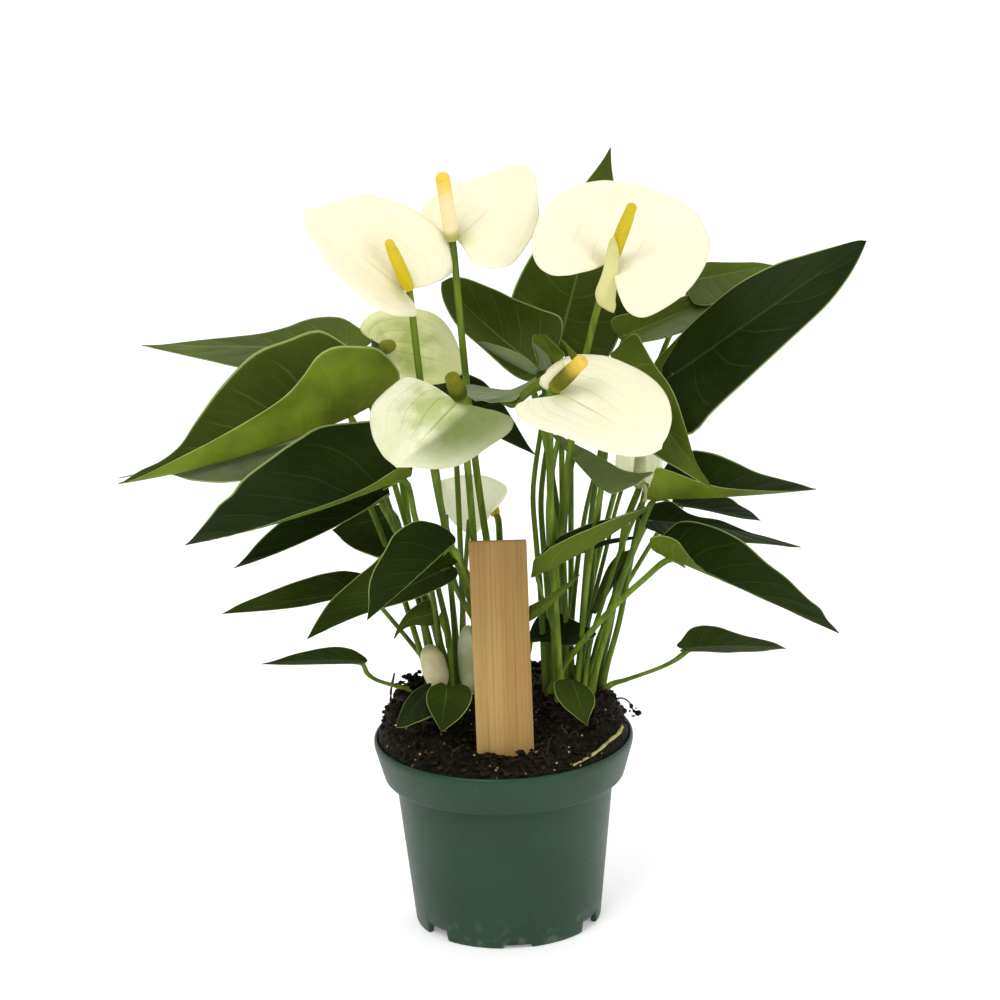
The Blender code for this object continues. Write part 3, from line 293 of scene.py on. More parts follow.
# What the outlines of some leaves look like where they differ from the solids: the left half, then the right
LEAF_SHAPES = {
    "leaf_01": dict(margins=(
        ((0, 0), (-.02, .35), (.03, .69), (.1, .92), (.22, 1.06), (.41, 1.02), (.59, .86), (.75, .55),
         (.92, .2), (1, 0)),
        ((0, 0), (-.06, .22), (-.05, .39), (-.01, .65), (.02, .82), (.06, .94), (.11, .98), (.18, .94),
         (.25, .82),
         (.33, .64), (.42, .49), (.54, .39), (.73, .25), (.92, .05), (1, 0)))),
    "leaf_02": dict(margins=(
        ((0, 0), (-.05, .08), (-.12, .1), (-.18, .16), (-.2, .26), (-.2, .4), (-.17, .66), (-.11, .92),
         (-.02, 1.06),
         (.07, 1.13), (.14, 1.08), (.2, .91), (.28, .77), (.42, .63), (.59, .47), (.76, .3), (.92, .1),
         (1, 0)),
        ((0, 0), (-.1, .19), (-.14, .5), (-.09, .77), (-.02, 1), (.04, 1.06), (.12, 1.07), (.25, 1.07),
         (.36, .99),
         (.48, .83), (.6, .61), (.71, .34), (.81, .2), (.91, .13), (1, 0)))),
    "leaf_03": dict(margins=(
        ((0, 0), (.05, .34), (.15, .56), (.25, .74), (.35, .87), (.44, .89), (.52, .86), (.61, .78),
         (.72, .53),
         (.81, .14), (.91, .03), (1, 0)),
        ((0, 0), (-.01, .4), (.02, .9), (.12, .95), (.23, .46), (.36, .27), (.46, .16), (.7, .06),
         (.86, .06), (1, 0)))),
    "leaf_04": dict(fold=(66, 44), margins=(
        ((0, 0), (.01, .16), (.07, .28), (.13, .25), (.2, .18), (.34, .13), (.52, .12), (.64, .08),
         (.82, .03), (1, 0)),
        ((0, 0), (-.06, .28), (-.09, .6), (-.04, .85), (.07, .99), (.21, 1.1), (.31, 1.07), (.41, 1.03),
         (.52, .93),
         (.63, .78), (.7, .62), (.77, .52), (.85, .34), (.92, .18), (1, 0)))),
    "leaf_05": dict(base=(-50.2, 0, 205.6), tip=(-116.8, -60, 194.2), fold=(60, 42), arch=-5, margins=(
        ((0, 0), (-.02, .14), (.04, .2), (.15, .12), (.35, .08), (.6, .06), (.85, .04), (1, 0)),
        ((0, 0), (-.04, .09), (-.05, .31), (.03, .59), (.16, .78), (.36, .82), (.56, .73), (.65, .64),
         (.77, .46),
         (.83, .34), (.89, .21), (1, 0)))),
    "leaf_06": dict(base=(-57.6, 8, 158.9), tip=(-126.6, -12, 156.3), face=(0, -.7, 1), fold=(-8, 10),
                    arch=2, margins=(
        ((0, 0), (.02, .15), (.09, .22), (.2, .19), (.29, .18), (.38, .22), (.5, .26), (.66, .22),
         (.82, .13), (1, 0)),
        ((0, 0), (-.04, .21), (-.01, .51), (.06, .7), (.12, .82), (.18, .91), (.32, .89), (.46, .76),
         (.59, .62),
         (.73, .44), (.87, .26), (1, 0)))),
    "leaf_07": dict(base=(-21.1, -14, 176.7), tip=(-86, -60, 159.9), face=(0, -.4, 1), fold=(-5, 30),
                    arch=1, margins=(
        ((0, 0), (0, .19), (.05, .35), (.16, .39), (.3, .37), (.39, .32), (.48, .24), (.55, .18),
         (.65, .1), (.8, .04),
         (1, 0)),
        ((0, 0), (-.06, .07), (-.04, .3), (.04, .63), (.17, .86), (.29, .93), (.35, .88), (.42, .8),
         (.5, .74),
         (.62, .64), (.74, .53), (.82, .4), (.92, .19), (1, 0)))),
    "leaf_08": dict(base=(-19.5, -36, 194.9), tip=(-58.1, -85, 176.7), fold=(60, 34), arch=0, margins=(
        ((0, 0), (0, .06), (.1, .08), (.3, .07), (.6, .05), (.85, .03), (1, 0)),
        ((0, 0), (-.04, .05), (-.06, .23), (-.05, .48), (-.02, .66), (.03, .81), (.1, .9), (.19, .96),
         (.27, .97),
         (.35, .91), (.46, .83), (.57, .74), (.68, .62), (.77, .46), (.86, .26), (.93, .13), (1, 0)))),
    "leaf_09": dict(base=(-46.5, 20, 190.9), tip=(-76.1, 18, 185.2), face=(0, -.8, 1), fold=0, margins=(
        ((0, 0), (.02, .46), (.13, .88), (.28, 1.14), (.41, 1.15), (.56, .95), (.72, .72), (.85, .46),
         (.93, .2), (1, 0)),
        ((0, 0), (.04, .24), (.17, .43), (.4, .38), (.7, .2), (.87, .09), (1, 0)))),
    "leaf_10": dict(base=(-62.1, -5, 128.5), tip=(-108.7, -25, 136.2), face=(0, -.4, 1), fold=(20, 16),
                    arch=3, margins=(
        ((0, 0), (.05, .21), (.19, .33), (.34, .38), (.58, .38), (.8, .25), (1, 0)),
        ((0, 0), (-.02, .12), (.02, .36), (.11, .62), (.22, .73), (.36, .69), (.52, .55), (.72, .33),
         (.87, .12), (1, 0)))),
    "leaf_11": dict(margins=(
        ((0, 0), (-.03, .26), (-.07, .47), (-.04, .79), (.08, 1.09), (.26, 1.17), (.48, 1.05),
         (.69, .75), (.87, .36),
         (.96, .14), (1, 0)),
        ((0, 0), (-.05, .12), (-.09, .24), (-.04, .45), (.08, .73), (.25, .83), (.44, .76), (.62, .55),
         (.82, .24),
         (.94, .07), (1, 0)))),
    "leaf_12": dict(margins=(
        ((0, 0), (.02, .14), (.13, .31), (.27, .53), (.47, .66), (.63, .59), (.75, .37), (.86, .16), (1, 0)),
        ((0, 0), (-.03, .17), (-.05, .53), (.01, .78), (.24, .85), (.49, .71), (.71, .43), (.89, .17),
         (1, 0)))),
    "leaf_13": dict(fold=(32, -5), margins=(
        ((0, 0), (-.09, .22), (-.06, .51), (-.02, .89), (.03, 1.07), (.09, 1.16), (.15, 1.18),
         (.29, 1.05), (.5, .74),
         (.71, .5), (.87, .31), (1, 0)),
        ((0, 0), (-.03, .18), (.03, .28), (.19, .39), (.41, .57), (.6, .54), (.79, .45), (.91, .18),
         (1, 0)))),
    "leaf_14": dict(fold=(34, 60), arch=1, margins=(
        ((0, 0), (-.05, .11), (-.07, .33), (-.06, .6), (-.05, .8), (-.02, .89), (.05, .97), (.15, 1.03),
         (.27, 1.01),
         (.37, .91), (.48, .78), (.61, .67), (.76, .46), (.83, .39), (.9, .2), (.96, .09), (1, 0)),
        ((0, 0), (-.04, .04), (-.06, .12), (-.06, .33), (-.04, .5), (.04, .72), (.12, .8), (.16, .64),
         (.21, .3),
         (.27, .14), (.4, .09), (.6, .07), (.85, .05), (1, 0)))),
    "leaf_15": dict(arch=-2, margins=(
        ((0, 0), (.03, .22), (.06, .64), (.1, .96), (.17, 1.14), (.24, 1.19), (.38, 1.07), (.51, .82),
         (.64, .6),
         (.77, .42), (.89, .23), (.98, .04), (1, 0)),
        ((0, 0), (.01, .18), (.03, .36), (.09, .8), (.15, 1.16), (.23, 1.14), (.28, 1.01), (.38, .76),
         (.48, .56),
         (.59, .43), (.69, .31), (.8, .2), (.91, .07), (1, 0)))),
    "leaf_16": dict(fold=(30, 0), margins=(
        ((0, 0), (0, .4), (.15, .68), (.37, .81), (.6, .81), (.73, .62), (.86, .43), (.95, .17), (1, 0)),
        ((0, 0), (.05, .21), (.2, .1), (.42, .06), (.77, .16), (1, 0)))),
    "leaf_17": dict(fold=(36, -12), margins=(
        ((0, 0), (-.03, .2), (-.03, .34), (.03, .5), (.14, .66), (.21, .51), (.27, .36), (.35, .29),
         (.47, .29),
         (.57, .19), (.68, .08), (.85, .04), (1, 0)),
        ((0, 0), (.04, .29), (.12, .49), (.18, .65), (.29, .78), (.42, .77), (.53, .63), (.69, .45),
         (.85, .24),
         (.94, .14), (1, 0)))),
    "leaf_18": dict(base=(77.9, 18, 251.8), margins=(
        ((0, 0), (.03, .23), (.1, .37), (.17, .51), (.29, .6), (.42, .66), (.52, .66), (.65, .58), (.77, .41),
         (.89, .23), (.97, .1), (1, 0)),
        ((0, 0), (-.06, .12), (-.08, .39), (-.09, .77), (-.07, 1.05), (-.03, 1.24), (.02, 1.24), (.08, 1.14),
         (.18, 1.04), (.29, .96), (.5, .79), (.7, .64), (.8, .5), (.89, .32), (.96, .13), (1, 0)))),
    "leaf_19": dict(base=(93.4, 80, 282.3), tip=(133.6, 98, 284.1), face=(0, -.6, 1), fold=(20, 10), margins=(
        ((0, 0), (.01, .2), (.09, .45), (.29, .48), (.48, .38), (.65, .29), (.84, .19), (1, 0)),
        ((0, 0), (-.1, .39), (-.15, .88), (-.12, 1.22), (.02, 1.29), (.27, .89), (.49, .54), (.76, .22),
         (1, 0)))),
    "leaf_20": dict(margins=(
        ((0, 0), (-.01, .4), (.06, .55), (.26, .48), (.51, .41), (.78, .39), (.87, .24), (1, 0)),
        ((0, 0), (-.05, .54), (-.09, 1.11), (-.03, 1.32), (.24, 1.38), (.46, 1.29), (.75, .7), (.92, .4),
         (1, 0)))),
    "leaf_21": dict(margins=(
        ((0, 0), (-.06, .06), (-.06, .24), (-.06, .72), (-.03, .96), (.04, .92), (.18, .83), (.32, .8),
         (.45, .67),
         (.54, .53), (.63, .39), (.7, .27), (.76, .17), (.84, .08), (.95, .05), (1, 0)),
        ((0, 0), (.05, .51), (.17, .88), (.31, 1.15), (.46, 1.22), (.58, 1.11), (.69, .78), (.82, .44),
         (.94, .16),
         (1, 0)))),
    "leaf_22": dict(margins=(
        ((0, 0), (-.03, .14), (-.04, .51), (.02, .78), (.15, .84), (.3, .77), (.4, .72), (.56, .67),
         (.71, .61),
         (.87, .38), (.96, .17), (1, 0)),
        ((0, 0), (.04, .47), (.1, .83), (.19, .99), (.37, .87), (.55, .73), (.68, .64), (.83, .49),
         (.92, .36),
         (.98, .2), (1, 0)))),
    "leaf_23": dict(tip=(58.3, 98, 343.6)),
    "leaf_24": dict(base=(18.4, -12, 260.4), tip=(-14.4, -18, 260.8), fold=8, arch=-5, margins=(
        ((0, 0), (.02, .2), (.17, .53), (.38, 1.2), (.57, 1.1), (.75, 1.43), (.88, 1.6), (.93, 1.4),
         (.98, .4), (1, 0)),
        ((0, 0), (-.08, .4), (.02, .32), (.17, .21), (.32, .1), (.46, .12), (.58, .31), (.69, .53), (.8, .62),
         (.91, .42), (1, 0)))),
    "leaf_26": dict(margins=(
        ((0, 0), (0, .14), (.16, .12), (.31, .1), (.51, .08), (.71, .06), (.88, .05), (1, 0)),
        ((0, 0), (-.09, .13), (-.08, .51), (-.05, .86), (-.02, 1.29), (.04, 1.76), (.1, 2.0),
         (.12, 1.54), (.19, 1.32),
         (.27, 1.12), (.38, .97), (.49, .81), (.62, .69), (.73, .52), (.85, .39), (.95, .22), (1, 0)))),
    "leaf_27": dict(base=(14.6, -26, 174.5), tip=(69.5, -26, 206.5), fold=(40, 80), arch=-4, margins=(
        ((0, 0), (.06, .9), (.14, 1.4), (.21, 1.75), (.32, 1.9), (.45, 1.8), (.6, 1.5), (.75, 1.05),
         (.91, .5), (1, 0)),
        ((0, 0), (.07, .97), (.13, 1.2), (.23, 1.46), (.33, 1.52), (.45, 1.58), (.57, 1.46), (.7, 1.35),
         (.81, 1.1),
         (.94, .5), (1, 0)))),
    "leaf_28": dict(margins=(
        ((0, 0), (.01, .37), (.07, .81), (.17, 1.16), (.31, 1.45), (.48, 1.13), (.65, .76), (.81, .47),
         (.93, .2), (1, 0)),
        ((0, 0), (.06, .1), (.24, .18), (.44, .42), (.63, .61), (.77, .48), (.91, .32), (.97, .19), (1, 0)))),
    "leaf_31": dict(margins=(
        ((0, 0), (-.01, .55), (-.03, .83), (.17, 1.29), (.4, 1.38), (.59, 1.17), (.77, .73), (.94, .35),
         (1, 0)),
        ((0, 0), (-.1, .08), (-.06, .22), (.07, .41), (.25, .52), (.48, .5), (.71, .33), (.9, .16), (1, 0)))),
}

# Small sheets that the solids leave out: finish, depth in millimetres (below 0 is in front of the
# pot's axis), bow, and the two long edges as pixels of the photograph
SMALL_SHEETS = {
    "bract_wisp": ("tongue", -2, .2,
        ((641, 484.5), (642.5, 489), (644, 493), (643.5, 498), (641.5, 501.5)),
        ((645, 482.5), (647, 487), (648, 491.5), (648, 497), (646.5, 502))),
    "bract_tongue": ("tongue", -24, .25,
        ((614, 235), (609, 242), (605.5, 257), (603.5, 268), (600, 279), (595.5, 291), (596, 299),
         (599, 305), (608, 311)),
        ((614, 235), (617, 243), (619, 252), (619, 265), (618, 277), (616.5, 290), (615.5, 300),
         (616, 306), (614, 313))),
    "bract_curl": ("yolk", -37, .2,
        ((539, 384), (541, 377), (548, 371.5), (556, 366), (563, 360)),
        ((543, 388), (550, 391), (556, 390), (561, 380), (565, 368))),
    "curled_lobe_a": ("olive", -24, -.2,
        ((539, 373), (537, 362), (535, 354), (533, 347), (532, 341), (532.5, 337), (535, 334.5), (538, 334)),
        ((553, 371), (558, 362), (565, 355), (560, 349), (553, 342), (548, 337), (543, 334.5), (539, 334))),
    "curled_lobe_b": ("sheen_in_shade", -25.5, .2,
        ((533, 345), (537, 353), (539, 362), (540, 371)),
        ((533, 342.5), (541, 348.5), (549, 357), (553, 369))),
    "curled_lobe_c": ("olive", -24, .2,
        ((559, 337.5), (562, 342), (566, 348), (569, 355), (572, 361)),
        ((560, 337.5), (565, 342), (570, 347), (575, 352), (579, 358))),
    "young_band": ("fresh", -27, .2,
        ((498, 400), (515, 400), (521, 392), (530, 384), (540, 377), (550, 371), (562, 361)),
        ((500, 403), (511, 408), (519, 405), (526, 399), (534, 393), (542, 390), (556, 384))),
    "pale_strip": ("sheen_silver", 9, .15,
        ((477, 342), (485, 342), (492, 344), (501, 346.5), (511, 350), (520, 354), (530, 361), (538.5, 370)),
        ((477, 342), (485, 348), (495, 355), (505, 362), (515, 369), (523, 375), (529, 380), (535, 379))),
    "young_leaf_a": ("lit", -20.4, .2,
        ((529, 606), (545, 598), (560, 588), (572, 580), (580, 574)),
        ((529, 622), (545, 611), (556, 600), (567, 590), (580, 575))),
    "young_leaf_b": ("mid", 6, .2,
        ((590, 612), (596, 596), (602, 580), (609, 565), (619, 554), (632, 549)),
        ((596, 614), (606, 598), (614, 585), (623, 575), (630, 564), (633, 550))),
    "young_leaf_c": ("bright", -6, .5,
        ((553, 600), (553, 585), (555, 570), (557, 558)), ((559, 600), (560, 585), (559, 572), (558, 558))),
    "young_leaf_d": ("mid", -1.5, .2,
        ((393.5, 639), (397, 629), (403, 618), (411, 609), (424, 601), (436, 598)),
        ((394.5, 639), (401, 631), (408, 627), (416, 625), (428, 626), (439, 622))),
    "young_leaf_e": ("fresh", -5.4, .5,
        ((444, 609), (439, 616), (440.5, 625), (444, 634), (446, 648)),
        ((445.5, 609), (448.5, 618), (450, 628), (450, 638), (449, 648))),
    "young_leaf_f": ("deep", 12, .2,
        ((572, 552), (590, 545), (606, 540), (625, 537), (642, 536.5)),
        ((560, 560), (590, 551), (606, 545), (625, 541), (642, 537))),
    "young_leaf_g": ("fresh", 32, .2,
        ((652, 371), (656, 360), (667, 349), (679, 336), (691, 325)),
        ((672, 382), (678, 370), (690, 356), (702, 342), (710, 330))),
    "young_leaf_h": ("low", 62, .2,
        ((611, 298), (615, 314), (621, 330), (627, 346)), ((636, 304), (639, 315), (642, 328), (643, 340))),
}

# Thin stems in the two clumps that the solids leave out: depth and radius in millimetres,
# and places from the soil up as pixels of the photograph; the first one goes into the soil
STEM_FOOT_Z = 102.0
SMALL_STEMS = (
    (2, 1.5, ((545, 672), (541, 600), (536, 540), (533, 500), (535, 470), (541, 430))),
    (8, 1.6, ((552, 672), (548, 600), (543, 540), (541, 500), (545, 460), (552, 425))),
    (-6, 1.6, ((557, 680), (552, 600), (549, 540), (549, 500), (554, 460), (561, 430))),
    (22, 1.4, ((569, 668), (572, 620), (578, 560), (586, 510), (596, 470))),
    (14, 1.2, ((578, 672), (585, 640), (596, 590), (606, 550), (615, 512), (624, 482))),
    (-2, 1.2, ((582, 676), (590, 645), (602, 605), (616, 562), (629, 530), (641, 503))),
    (14, 1.4, ((562, 668), (560, 620), (563, 560), (566, 510), (571, 470), (575, 455))),
    (-4, 1.6, ((453, 682), (449, 640), (441, 600), (433, 570), (425, 548))),
    (9, 1.4, ((462, 680), (462, 640), (463, 600), (466, 560), (469, 520))),
    (4, 1.5, ((457, 675), (455, 640), (452, 600), (449, 560), (446, 515))),
)

# Loose things on the soil, and the soil's own lumps: height, width and seed of each kind
LITTER_REACH = RIM_RADIUS - 3.0
FIBRE_REACH = RIM_RADIUS - 7.0
FIBRE_STOP = RIM_RADIUS - 4.0
FIBRE_STEPS = 8
SOIL_LUMPS = ((1.3, 9, 3.0), (.9, 4, 7.0))
HOLLOW_DEPTH, HOLLOW_PLACE, HOLLOW_SIZE = 3.2, (1, -42), (17, 9)
MOSS_PLACE, MOSS_REACH = (-39.4, 2, 114.5), (9, 6, 7)
TWIG = ((-52, 0, 103), (-51.6, 0, 108), (-51.2, 0, 113), (-49.4, 0, 120.8))
SPILL_ROOT = ((52, 5, 103), (55.4, 5, 103.4), (58.6, 5, 101.4), (60.8, 5, 96.6))
SPILL_PLACES = ((59.5, 5, 99.4), (60.8, 5, 96.8), (62.7, 5, 95.8), (60.3, 5, 94.4), (58.9, 5, 96.9),
                (61.7, 5, 98.2))
SPILL_SIZES = (1.1, .9, 1.5, .8, .6, .6)
PALE_ROOT = ((31, -47.2), (34.3, -44.5), (39, -40), (43.7, -34.5), (48.5, -27), (52.5, -19.5), (54.6, -12.5))

# Camera: place in millimetres, degrees down from level, and degrees the picture is turned
CAMERA_PLACE = (1.6, -1800, 774)
CAMERA_DROP = 17.6
CAMERA_ROLL = 1.7
LENS = 149.4
FILM_WIDTH = 36
PHOTO_WIDTH = 1000

# Soft lamps: name, place in metres, width and power; all of them look at one place
LIGHTS = (
    ("key", (-.8, -1.5, 1.9), 1.2, 30),
    ("fill", (1.5, -1.2, .9), 1.4, 13),
    ("back", (.3, 1.6, 1.6), 1.6, 8),
)
LIGHT_AIM = (0, 0, .18)
FLOOR_GLOW = .24

# Sockets of the Mix node for colours, which share their names with other kinds of value
MIX_FACTOR, MIX_ONE, MIX_TWO, MIX_RESULT = 0, 6, 7, 2


def unit(vector):
    """The same way with a length of 1."""
    return vector / max(np.linalg.norm(vector), 1e-9)


def seen_at(across, down, depth):
    """Where the sight line through a pixel of the photograph meets the upright plane at a depth."""
    turn, drop = math.radians(CAMERA_ROLL), math.radians(CAMERA_DROP)
    x, y = across - PHOTO_WIDTH / 2, PHOTO_WIDTH / 2 - down
    x, y = x * math.cos(turn) + y * math.sin(turn), y * math.cos(turn) - x * math.sin(turn)
    far = PHOTO_WIDTH * LENS / FILM_WIDTH
    sight = np.array((x, far * math.cos(drop) + y * math.sin(drop),
                      y * math.cos(drop) - far * math.sin(drop)))
    return np.array(CAMERA_PLACE) + sight * (depth - CAMERA_PLACE[1]) / sight[1]


def spline(points, at):
    """Catmull-Rom curve through points, read at places from 0 to 1."""
    points = np.array(points, float)
    padded = np.vstack([2 * points[0] - points[1], points, 2 * points[-1] - points[-2]])
    place = np.clip(np.asarray(at, float), 0, 1) * (len(points) - 1)
    span = np.minimum(place.astype(int), len(points) - 2)
    t = (place - span)[:, None]
    p0, p1, p2, p3 = (padded[span + k] for k in range(4))
    return 0.5 * (2 * p1 + (p2 - p0) * t + (2 * p0 - 5 * p1 + 4 * p2 - p3) * t ** 2
                  + (3 * p1 - p0 - 3 * p2 + p3) * t ** 3)


def smoothstep(low, high, value):
    """0 below low, 1 above high, and smooth between them."""
    t = np.clip((value - low) / (high - low), 0, 1)
    return t * t * (3 - 2 * t)


def length_along(points):
    """How far each point of a path lies from its start, along the path."""
    return np.concatenate([[0], np.cumsum(np.linalg.norm(np.diff(points, axis=0), axis=1))])


class Blade:
    """A leaf or spathe: a curved midrib with a folded sheet on both sides of it."""

    def __init__(self, base, tip, width, edge, face=(0, 0, 1), fold=12, fade=.5, arch=0, lobe=1, taper=0,
                 margins=None, **_):
        self.base, self.tip = np.array(base, float), np.array(tip, float)
        self.half = width / 2
        self.edge = [(x * lobe, y) if x < 0 else (x, y * (1 - taper * x)) for x, y in edge]
        self.margins = margins
        self.fade = fade
        along = unit(self.tip - self.base)
        up = np.array(face, float)
        self.up = unit(up - along * (up @ along))
        self.side = np.cross(self.up, along)
        self.fold = np.radians(fold if isinstance(fold, (tuple, list)) else (fold, fold))
        self.mid = (self.base + self.tip) / 2 + arch * self.up

    def frame(self, u):
        """Midrib point, side and up directions at places u along the midrib."""
        u = np.asarray(u, float)[..., None]
        point = (1 - u) ** 2 * self.base + 2 * u * (1 - u) * self.mid + u ** 2 * self.tip
        ahead = (1 - u) * (self.mid - self.base) + u * (self.tip - self.mid)
        ahead = ahead / np.linalg.norm(ahead, axis=-1, keepdims=True)
        side = self.side - ahead * (ahead @ self.side)[..., None]
        side = side / np.linalg.norm(side, axis=-1, keepdims=True)
        return point, side, np.cross(ahead, side)

    def place(self, u, across, soft=0.0):
        """Points of the sheet at u along the midrib and across from -1 to 1; soft rounds the fold."""
        point, side, up = self.frame(u)
        round_off = np.sqrt(across ** 2 + soft ** 2)
        left = (1 + across / np.maximum(round_off, 1e-9)) / 2 if soft else (across >= 0) * 1.0
        fold = (self.fold[1] + (self.fold[0] - self.fold[1]) * left) * (1 - self.fade * np.clip(u, 0, 1))
        rise = self.half * (round_off - soft) * np.sin(fold)
        return point + side * (self.half * across * np.cos(fold))[..., None] + up * rise[..., None]

    def half_grid(self, sign, rows, cols):
        """Sheet points of one half: rows run round the margin, columns out from the midrib."""
        turn = np.arange(1, rows) / rows
        edge = spline(self.edge, turn)
        root = turn ** RIB_EASE
        out = np.arange(0, cols + 1) / cols
        u = root[:, None] + (edge[:, :1] - root[:, None]) * out
        return self.place(u, sign * edge[:, 1:] * out)

    def margin(self, half, turn):
        """The outline of one half at places from the joint to the tip, evenly round its length."""
        if not self.margins:
            return spline(self.edge, turn)
        line = spline(self.margins[half], np.linspace(0, 1, 200))
        reach = length_along(line)
        return np.stack([np.interp(turn * reach[-1], reach, line[:, k]) for k in range(2)], 1)

    def sheet(self, rows, cols, soft, quilt, veins, wave, seed, curl=0.0):
        """Fine sheet from one margin to the other: points, normals, and turn and out of each point."""
        turn = np.linspace(0, 1, rows + 1)[:, None]
        step = np.linspace(1, -1, 2 * cols + 1)[None]
        out = np.sign(step) * np.abs(step) ** 1.12
        left, right = self.margin(0, turn[:, 0]), self.margin(1, turn[:, 0])
        rib = turn ** RIB_EASE * left[-1, 0]
        edge_u = np.where(out >= 0, left[:, :1], right[:, :1])
        u = rib + (edge_u - rib) * np.abs(out)
        across = np.where(out >= 0, left[:, 1:], right[:, 1:]) * out
        points = self.place(u, across, soft)
        phase = random.Random(seed)
        up = self.frame(u)[2]
        if curl:
            reach = np.linalg.norm(points - self.base, axis=2) / np.linalg.norm(self.tip - self.base)
            pillow = np.abs(np.sin(np.pi * veins * np.abs(out))) ** 0.8 - 0.5
            inside = (1 - smoothstep(.35, .9, reach)) * (1 - smoothstep(.85, 1, np.abs(out)))
        else:
            pillow = np.abs(np.sin(np.pi * veins * (turn - VEIN_ARCH * out ** 2))) ** 0.8 - 0.5
            inside = np.sin(np.pi * np.clip(np.abs(out), 0, 1)) ** 0.7
        ends = smoothstep(0, .1, 1 - turn)
        lift = quilt * pillow * inside * smoothstep(0, .12, turn) * ends
        lift = lift - curl * smoothstep(.78, 1, np.abs(out)) ** 2 * smoothstep(0, .1, turn) * ends
        for waves in EDGE_WAVES:
            swing = 2 * np.pi * (waves * turn + phase.random() + (out > 0) * phase.random())
            lift = lift + wave * np.abs(across) ** 2 * np.sin(swing) * 1.5 / waves
        points = points + up * lift[..., None]
        normals = np.cross(np.gradient(points, axis=1), np.gradient(points, axis=0))
        size = np.linalg.norm(normals, axis=2, keepdims=True)
        normals = normals / np.maximum(size, 1e-9)
        normals[0], normals[-1] = unit(normals[1].mean(0)), unit(normals[-2].mean(0))
        return points, normals, turn + 0 * out, out + 0 * turn


class Form:
    """Grids of points gathered into one closed mesh, each with its finish and surface places."""

    def __init__(self):
        self.points, self.places, self.faces, self.kinds, self.count = [], [], [], [], 0

    def add(self, points, places=None, kind=0, flip=False):
        rows, cols = points.shape[:2]
        if places is None:
            places = np.stack(np.meshgrid(np.linspace(0, 1, cols), np.linspace(0, 1, rows)), -1)
        first = (np.arange(rows - 1)[:, None] * cols + np.arange(cols - 1)).ravel() + self.count
        quads = np.stack([first, first + 1, first + cols + 1, first + cols], 1)
        self.faces.append(quads[:, ::-1] if flip else quads)
        self.kinds.append(np.full(len(quads), kind))
        self.points.append(points.reshape(-1, 3))
        self.places.append(np.asarray(places, float).reshape(-1, 2))
        self.count += rows * cols

    def blade(self, blade, rows, cols, thick, soft, quilt, veins, wave, seed, rib=0.0, curl=0.0,
              kinds=(0, 1)):
        """A sheet with a thin margin, and a midrib that stands out below."""
        points, normals, turn, out = blade.sheet(rows, cols, soft, quilt, veins, wave, seed, curl)
        thin = thick * (1 - 0.45 * smoothstep(.8, 1, np.abs(out)))
        below = thin / 2 + rib * np.exp(-(out * blade.half) ** 2 / RIB_SPREAD) * (1 - turn) ** 0.7
        below[0], below[-1] = thick / 2, thick / 2
        thin[0], thin[-1] = thick, thick
        if curl:
            turn = np.linalg.norm(points - blade.base, axis=2) / np.linalg.norm(blade.tip - blade.base)
        self.shell(points, normals, thin, below, np.stack([turn, out / 2 + 0.5], -1), kinds)

    def shell(self, points, normals, thin, below, places, kinds=(0, 0)):
        """Closes a sheet: its upper face, its underside and its two long edges."""
        top = points + normals * thin[..., None] / 2
        bottom = points - normals * below[..., None]
        self.add(top, places, kinds[0])
        self.add(bottom, places, kinds[1], flip=True)
        self.add(np.stack([bottom[:, 0], top[:, 0]], 1), places[:, :2], kinds[0])
        self.add(np.stack([top[:, -1], bottom[:, -1]], 1), places[:, -2:], kinds[0])

    def tube(self, path, radii, sides, kind=0, relief=None):
        """A closed tube; relief adds to the radius, from the turn and the place along it."""
        path = np.asarray(path, float)
        ahead = np.gradient(path, axis=0)
        ahead /= np.maximum(np.linalg.norm(ahead, axis=1, keepdims=True), 1e-9)
        side = unit(np.cross(ahead[0], SEAM_WAY))
        sides_on = []
        for way in ahead:
            side = unit(side - way * (side @ way))
            sides_on.append(side)
        sides_on = np.array(sides_on)
        other = np.cross(ahead, sides_on)
        turn = np.linspace(0, 2 * np.pi, sides + 1)
        along = np.linspace(0, 1, len(path))
        wide = np.asarray(radii, float)[:, None] + 0 * turn
        if relief is not None:
            wide = wide + relief(turn[None], along[:, None])
        wide[:, -1] = wide[:, 0]
        ring = sides_on[:, None] * np.cos(turn)[None, :, None] + other[:, None] * np.sin(turn)[None, :, None]
        ring[:, -1] = ring[:, 0]
        points = path[:, None] + ring * wide[..., None]
        ends = [np.repeat(path[k][None, None], sides + 1, 1) for k in (0, -1)]
        places = np.stack(np.meshgrid(turn / (2 * np.pi), along), -1)
        places = np.concatenate([places[:1], places, places[-1:]])
        self.add(np.concatenate([ends[0], points, ends[1]]), places, kind)

    def piece(self, name, finishes, slot, replaces=()):
        """Makes the mesh object, lets it ride, and hides the solids it replaces."""
        mesh = bpy.data.meshes.new(name)
        faces = np.concatenate(self.faces)
        mesh.from_pydata((np.concatenate(self.points) * MM).tolist(), [], faces.tolist())
        mesh.uv_layers.new(name="place")
        mesh.uv_layers["place"].data.foreach_set("uv", np.concatenate(self.places)[faces.ravel()].ravel())
        for finish in finishes:
            mesh.materials.append(finish)
        mesh.polygons.foreach_set("material_index", np.concatenate(self.kinds))
        net = bmesh.new()
        net.from_mesh(mesh)
        bmesh.ops.remove_doubles(net, verts=net.verts, dist=WELD * MM)
        net.to_mesh(mesh)
        net.free()
        mesh.polygons.foreach_set("use_smooth", [True] * len(mesh.polygons))
        made = bpy.data.objects.new(name, mesh)
        bpy.context.scene.collection.objects.link(made)
        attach(made, "root")
        if replaces:
            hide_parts(*replaces)


